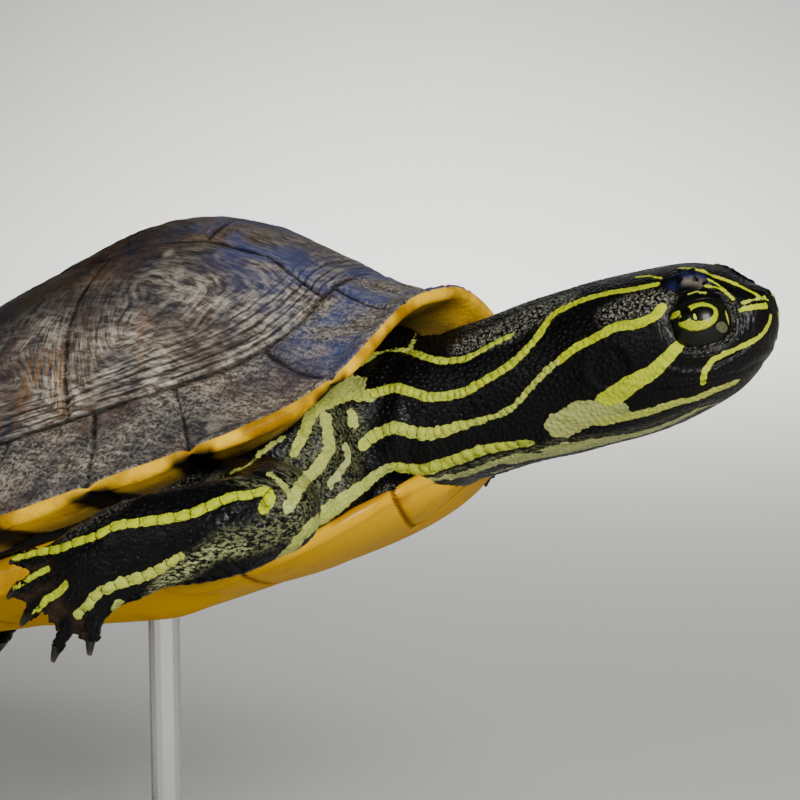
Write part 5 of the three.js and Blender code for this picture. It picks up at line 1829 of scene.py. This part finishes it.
def claw_material():
    """Claw horn: dark brown with paler length-wise layers, lightly worn at the tip."""
    material, node = new_material("claw_horn")
    layers = node("TexNoise", {"Vector": node(PLACE), "Scale": 900.0, "Detail": 4.0})
    colour = node("ValToRGB", (node(FROM_MESH, attribute_name="tip"),), stops=[
        (0.0, linear("#0b0a08")), (0.7, linear("#17130d")), (1.0, linear("#4a3f2c"))])
    shader = node("BsdfPrincipled", {
        "Base Color": node(BLEND, {0: layers, 6: colour, 7: linear("#0b0a08")}),
        "Roughness": 0.34, "IOR": 1.54, "Specular IOR Level": 0.25,
        "Normal": node("Bump", {"Strength": 0.2, "Distance": 0.0002, "Height": layers})})
    node("OutputMaterial", {"Surface": shader})
    return material


class TURTLE_OT_claws(bpy.types.Operator):
    """Builds the curved claws of all four feet"""
    bl_idname = "turtle.claws"
    bl_label = "Claws"

    def execute(self, context):
        material = claw_material()
        for leg, digits in (("foreleg", FORE_DIGITS), ("hindleg", HIND_DIGITS)):
            for side in ("right", "left"):
                claws, tips = [], []
                for fan, reach in digits["fan"]:
                    rings = np.array(claw_rings(digits, fan, reach))
                    claw = ringed_object("claw", rings, mirror=side == "left")
                    if leg == "foreleg" and side == "left":
                        set_points(claw, raise_left_foot(points_of(claw)))
                    claws.append(claw)
                    tips.append(np.concatenate([
                        np.repeat(np.linspace(0, 1, len(rings)), rings.shape[1]), [0, 1]]))
                piece = take_up(*claws)
                bpy.ops.object.join()
                piece.name = piece.data.name = f"{leg}_claws_{side}"
                set_values(piece, "tip", np.concatenate(tips))
                finish_piece(piece, material, [
                    f"{leg}_{side}_claw_{k + 1}" for k in range(len(digits["fan"]))])
        return {"FINISHED"}


# ---- Stand and stage --------------------------------------------------------------------------

def base_material(settings):
    """Moulded black acrylic with a satin face and fine wiping marks."""
    material, node = new_material("satin_acrylic")
    place = node(PLACE)
    wiped = node("Mapping", {"Vector": place, "Scale": (1, 12, 1)})
    marks, dust = (node("TexNoise", {"Vector": vector, "Scale": scale, "Detail": detail})
                   for vector, scale, detail in ((wiped, 60.0, 5.0), (place, 900.0, 3.0)))
    colour = node(BLEND, {0: node("MapRange", (dust, 0.6, 0.9)), 6: settings.base,
                          7: linear("#3a3a3c")})
    rough = node("MapRange", (marks, 0.0, 1.0, 0.22, 0.38))
    shader = node("BsdfPrincipled", {"Base Color": colour, "Roughness": rough, "IOR": 1.49})
    node("OutputMaterial", {"Surface": shader})
    return material


def rod_material():
    """Drawn stainless rod: fine grinding rings round it stretch the highlights."""
    material, node = new_material("ground_stainless_rod")
    rings = node("Mapping", {"Vector": node(PLACE), "Scale": (1, 1, 40)})
    grind = node("TexNoise", {"Vector": rings, "Scale": 90.0, "Detail": 4.0})
    shader = node("BsdfPrincipled", {
        "Base Color": linear("#c2c2bf"), "Metallic": 1.0,
        "Roughness": node("MapRange", (grind, 0.0, 1.0, 0.2, 0.36)),
        "Normal": node("Bump", {"Strength": 0.08, "Distance": 0.0001, "Height": grind})})
    node("OutputMaterial", {"Surface": shader})
    return material


class TURTLE_OT_stand(bpy.types.Operator):
    """Finishes the stand's base and rods"""
    bl_idname = "turtle.stand"
    bl_label = "Stand"

    def execute(self, context):
        looks = {"stand_base": base_material(context.scene.turtle_stage)}
        looks["stand_rod_front"] = looks["stand_rod_rear"] = rod_material()
        for node, material in looks.items():
            give_material(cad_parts[node], material)
        return {"FINISHED"}


FLOOR_RADIUS, FLOOR_CURVE = 1.2, 0.8    # the flat part and the sweep up round it, in metres
CAMERA_SENSOR_MM = 36


def add_softbox(name, place, size, power, target=CAMERA_TARGET):
    light = bpy.data.lights.new(name, "AREA")
    light.shape = "RECTANGLE"
    light.size, light.size_y = size
    light.energy = power
    lamp = bpy.data.objects.new(name, light)
    lamp.location = place
    lamp.rotation_euler = (Vector(place) - Vector(target)).to_track_quat("Z", "Y").to_euler()
    bpy.context.scene.collection.objects.link(lamp)
    return lamp


class TURTLE_OT_stage(bpy.types.Operator):
    """Sets the pale floor, the soft lights and the camera"""
    bl_idname = "turtle.stage"
    bl_label = "Stage"

    def execute(self, context):
        settings = context.scene.turtle_stage
        deselect_all()
        bpy.ops.mesh.primitive_circle_add(
            vertices=128, radius=FLOOR_RADIUS, fill_type="NOTHING")
        floor = context.object
        floor.name = floor.data.name = "studio_floor"
        bpy.ops.object.mode_set(mode="EDIT")
        bpy.ops.mesh.select_mode(type="VERT")
        bpy.ops.mesh.select_all(action="SELECT")
        turns = np.linspace(0, math.pi / 2, 17)
        for last, turn in zip(turns[:-1], turns[1:]):
            bpy.ops.mesh.extrude_region_move()
            rise = FLOOR_CURVE * (math.cos(last) - math.cos(turn))
            bpy.ops.transform.translate(value=(0, 0, rise))
            grow = (FLOOR_RADIUS + FLOOR_CURVE * math.sin(turn)) \
                / (FLOOR_RADIUS + FLOOR_CURVE * math.sin(last))
            bpy.ops.transform.resize(value=(grow, grow, 1))
        bpy.ops.mesh.select_all(action="DESELECT")
        bpy.ops.object.mode_set(mode="OBJECT")
        height = read_all(floor.data.vertices, "co", 3, np.float32)[:, 2]
        floor.data.vertices.foreach_set("select", height < 0.00001)
        bpy.ops.object.mode_set(mode="EDIT")
        bpy.ops.mesh.edge_face_add()
        edit_whole(floor, bpy.ops.mesh.normals_make_consistent, inside=True)
        bpy.ops.object.shade_smooth_by_angle(angle=math.radians(30))
        material, node = new_material("matt_studio_paint")
        mottle = node("TexNoise", {"Vector": node(PLACE), "Scale": 3.0})
        colour = node(BLEND, {0: mottle, 6: settings.floor, 7: linear("#cbcac6")})
        node("OutputMaterial", {"Surface": node("BsdfPrincipled", {
            "Base Color": colour, "Roughness": 0.85, "IOR": 1.4})})
        floor.data.materials.append(material)

        world = context.scene.world or bpy.data.worlds.new("studio_air")
        context.scene.world = world
        world.use_nodes = True
        air = world.node_tree.nodes.get("Background")
        air.inputs["Color"].default_value = linear("#e6e8ec")
        air.inputs["Strength"].default_value = 0.09
        add_softbox("key_softbox", (0.74, -0.52, 0.56), (0.4, 0.4), settings.key_power)
        add_softbox("fill_softbox", (-0.15, -0.9, 0.4), (0.5, 0.4), settings.fill_power)
        add_softbox("back_softbox", (-0.3, 0.75, 0.6), (0.6, 0.3), settings.fill_power * 0.2)
        for name, place, target, power in (
                ("far_backdrop_softbox", (-0.55, 1.05, 1.3), (-0.62, 1.25, 0), 8.0),
                ("near_backdrop_softbox", (-0.25, 0.75, 1.0), (-0.3, 0.9, 0), 2.5)):
            lamp = add_softbox(name, place, (0.8, 0.8), power, target)
            lamp.data.spread = math.radians(60)

        eye, _, _, back = camera_axes()
        lens = bpy.data.cameras.new("turtle_camera")
        lens.sensor_width = CAMERA_SENSOR_MM
        lens.lens = CAMERA_FOCAL_PIXELS / FRAME_PIXELS * CAMERA_SENSOR_MM
        lens.clip_start = 0.01
        camera = bpy.data.objects.new("turtle_camera", lens)
        camera.location = eye
        camera.rotation_euler = Vector(back).to_track_quat("Z", "Y").to_euler()
        context.scene.collection.objects.link(camera)
        context.scene.camera = camera
        return {"FINISHED"}


# ---- Add-on -----------------------------------------------------------------------------------

class TURTLE_PT_panel(bpy.types.Panel):
    """Lists the turtle's pieces and settings in the sidebar"""
    bl_label = "Cooter turtle"
    bl_idname = "TURTLE_PT_panel"
    bl_space_type = "VIEW_3D"
    bl_region_type = "UI"
    bl_category = "Turtle"

    def draw(self, context):
        scene = context.scene
        for group in (scene.turtle_skin, scene.turtle_shell, scene.turtle_stage):
            box = self.layout.box()
            for name in group.__annotations__:
                box.prop(group, name)
        for operator in OPERATORS:
            self.layout.operator(operator.bl_idname)


GROUPS = {"turtle_skin": TURTLE_PG_skin, "turtle_shell": TURTLE_PG_shell,
          "turtle_stage": TURTLE_PG_stage}
OPERATORS = (TURTLE_OT_skin, TURTLE_OT_scales, TURTLE_OT_carapace, TURTLE_OT_plastron,
             TURTLE_OT_eyes, TURTLE_OT_claws, TURTLE_OT_stand, TURTLE_OT_stage)


def register():
    for cls in (*GROUPS.values(), *OPERATORS, TURTLE_PT_panel):
        bpy.utils.register_class(cls)
    for name, cls in GROUPS.items():
        setattr(bpy.types.Scene, name, bpy.props.PointerProperty(type=cls))


def unregister():
    for name in GROUPS:
        delattr(bpy.types.Scene, name)
    for cls in reversed((*GROUPS.values(), *OPERATORS, TURTLE_PT_panel)):
        bpy.utils.unregister_class(cls)


def main():
    register()
    bpy.ops.turtle.skin()
    bpy.ops.turtle.scales()
    bpy.ops.turtle.carapace()
    bpy.ops.turtle.plastron()
    bpy.ops.turtle.eyes()
    bpy.ops.turtle.claws()
    bpy.ops.turtle.stand()
    bpy.ops.turtle.stage()


if __name__ == "__main__":
    main()
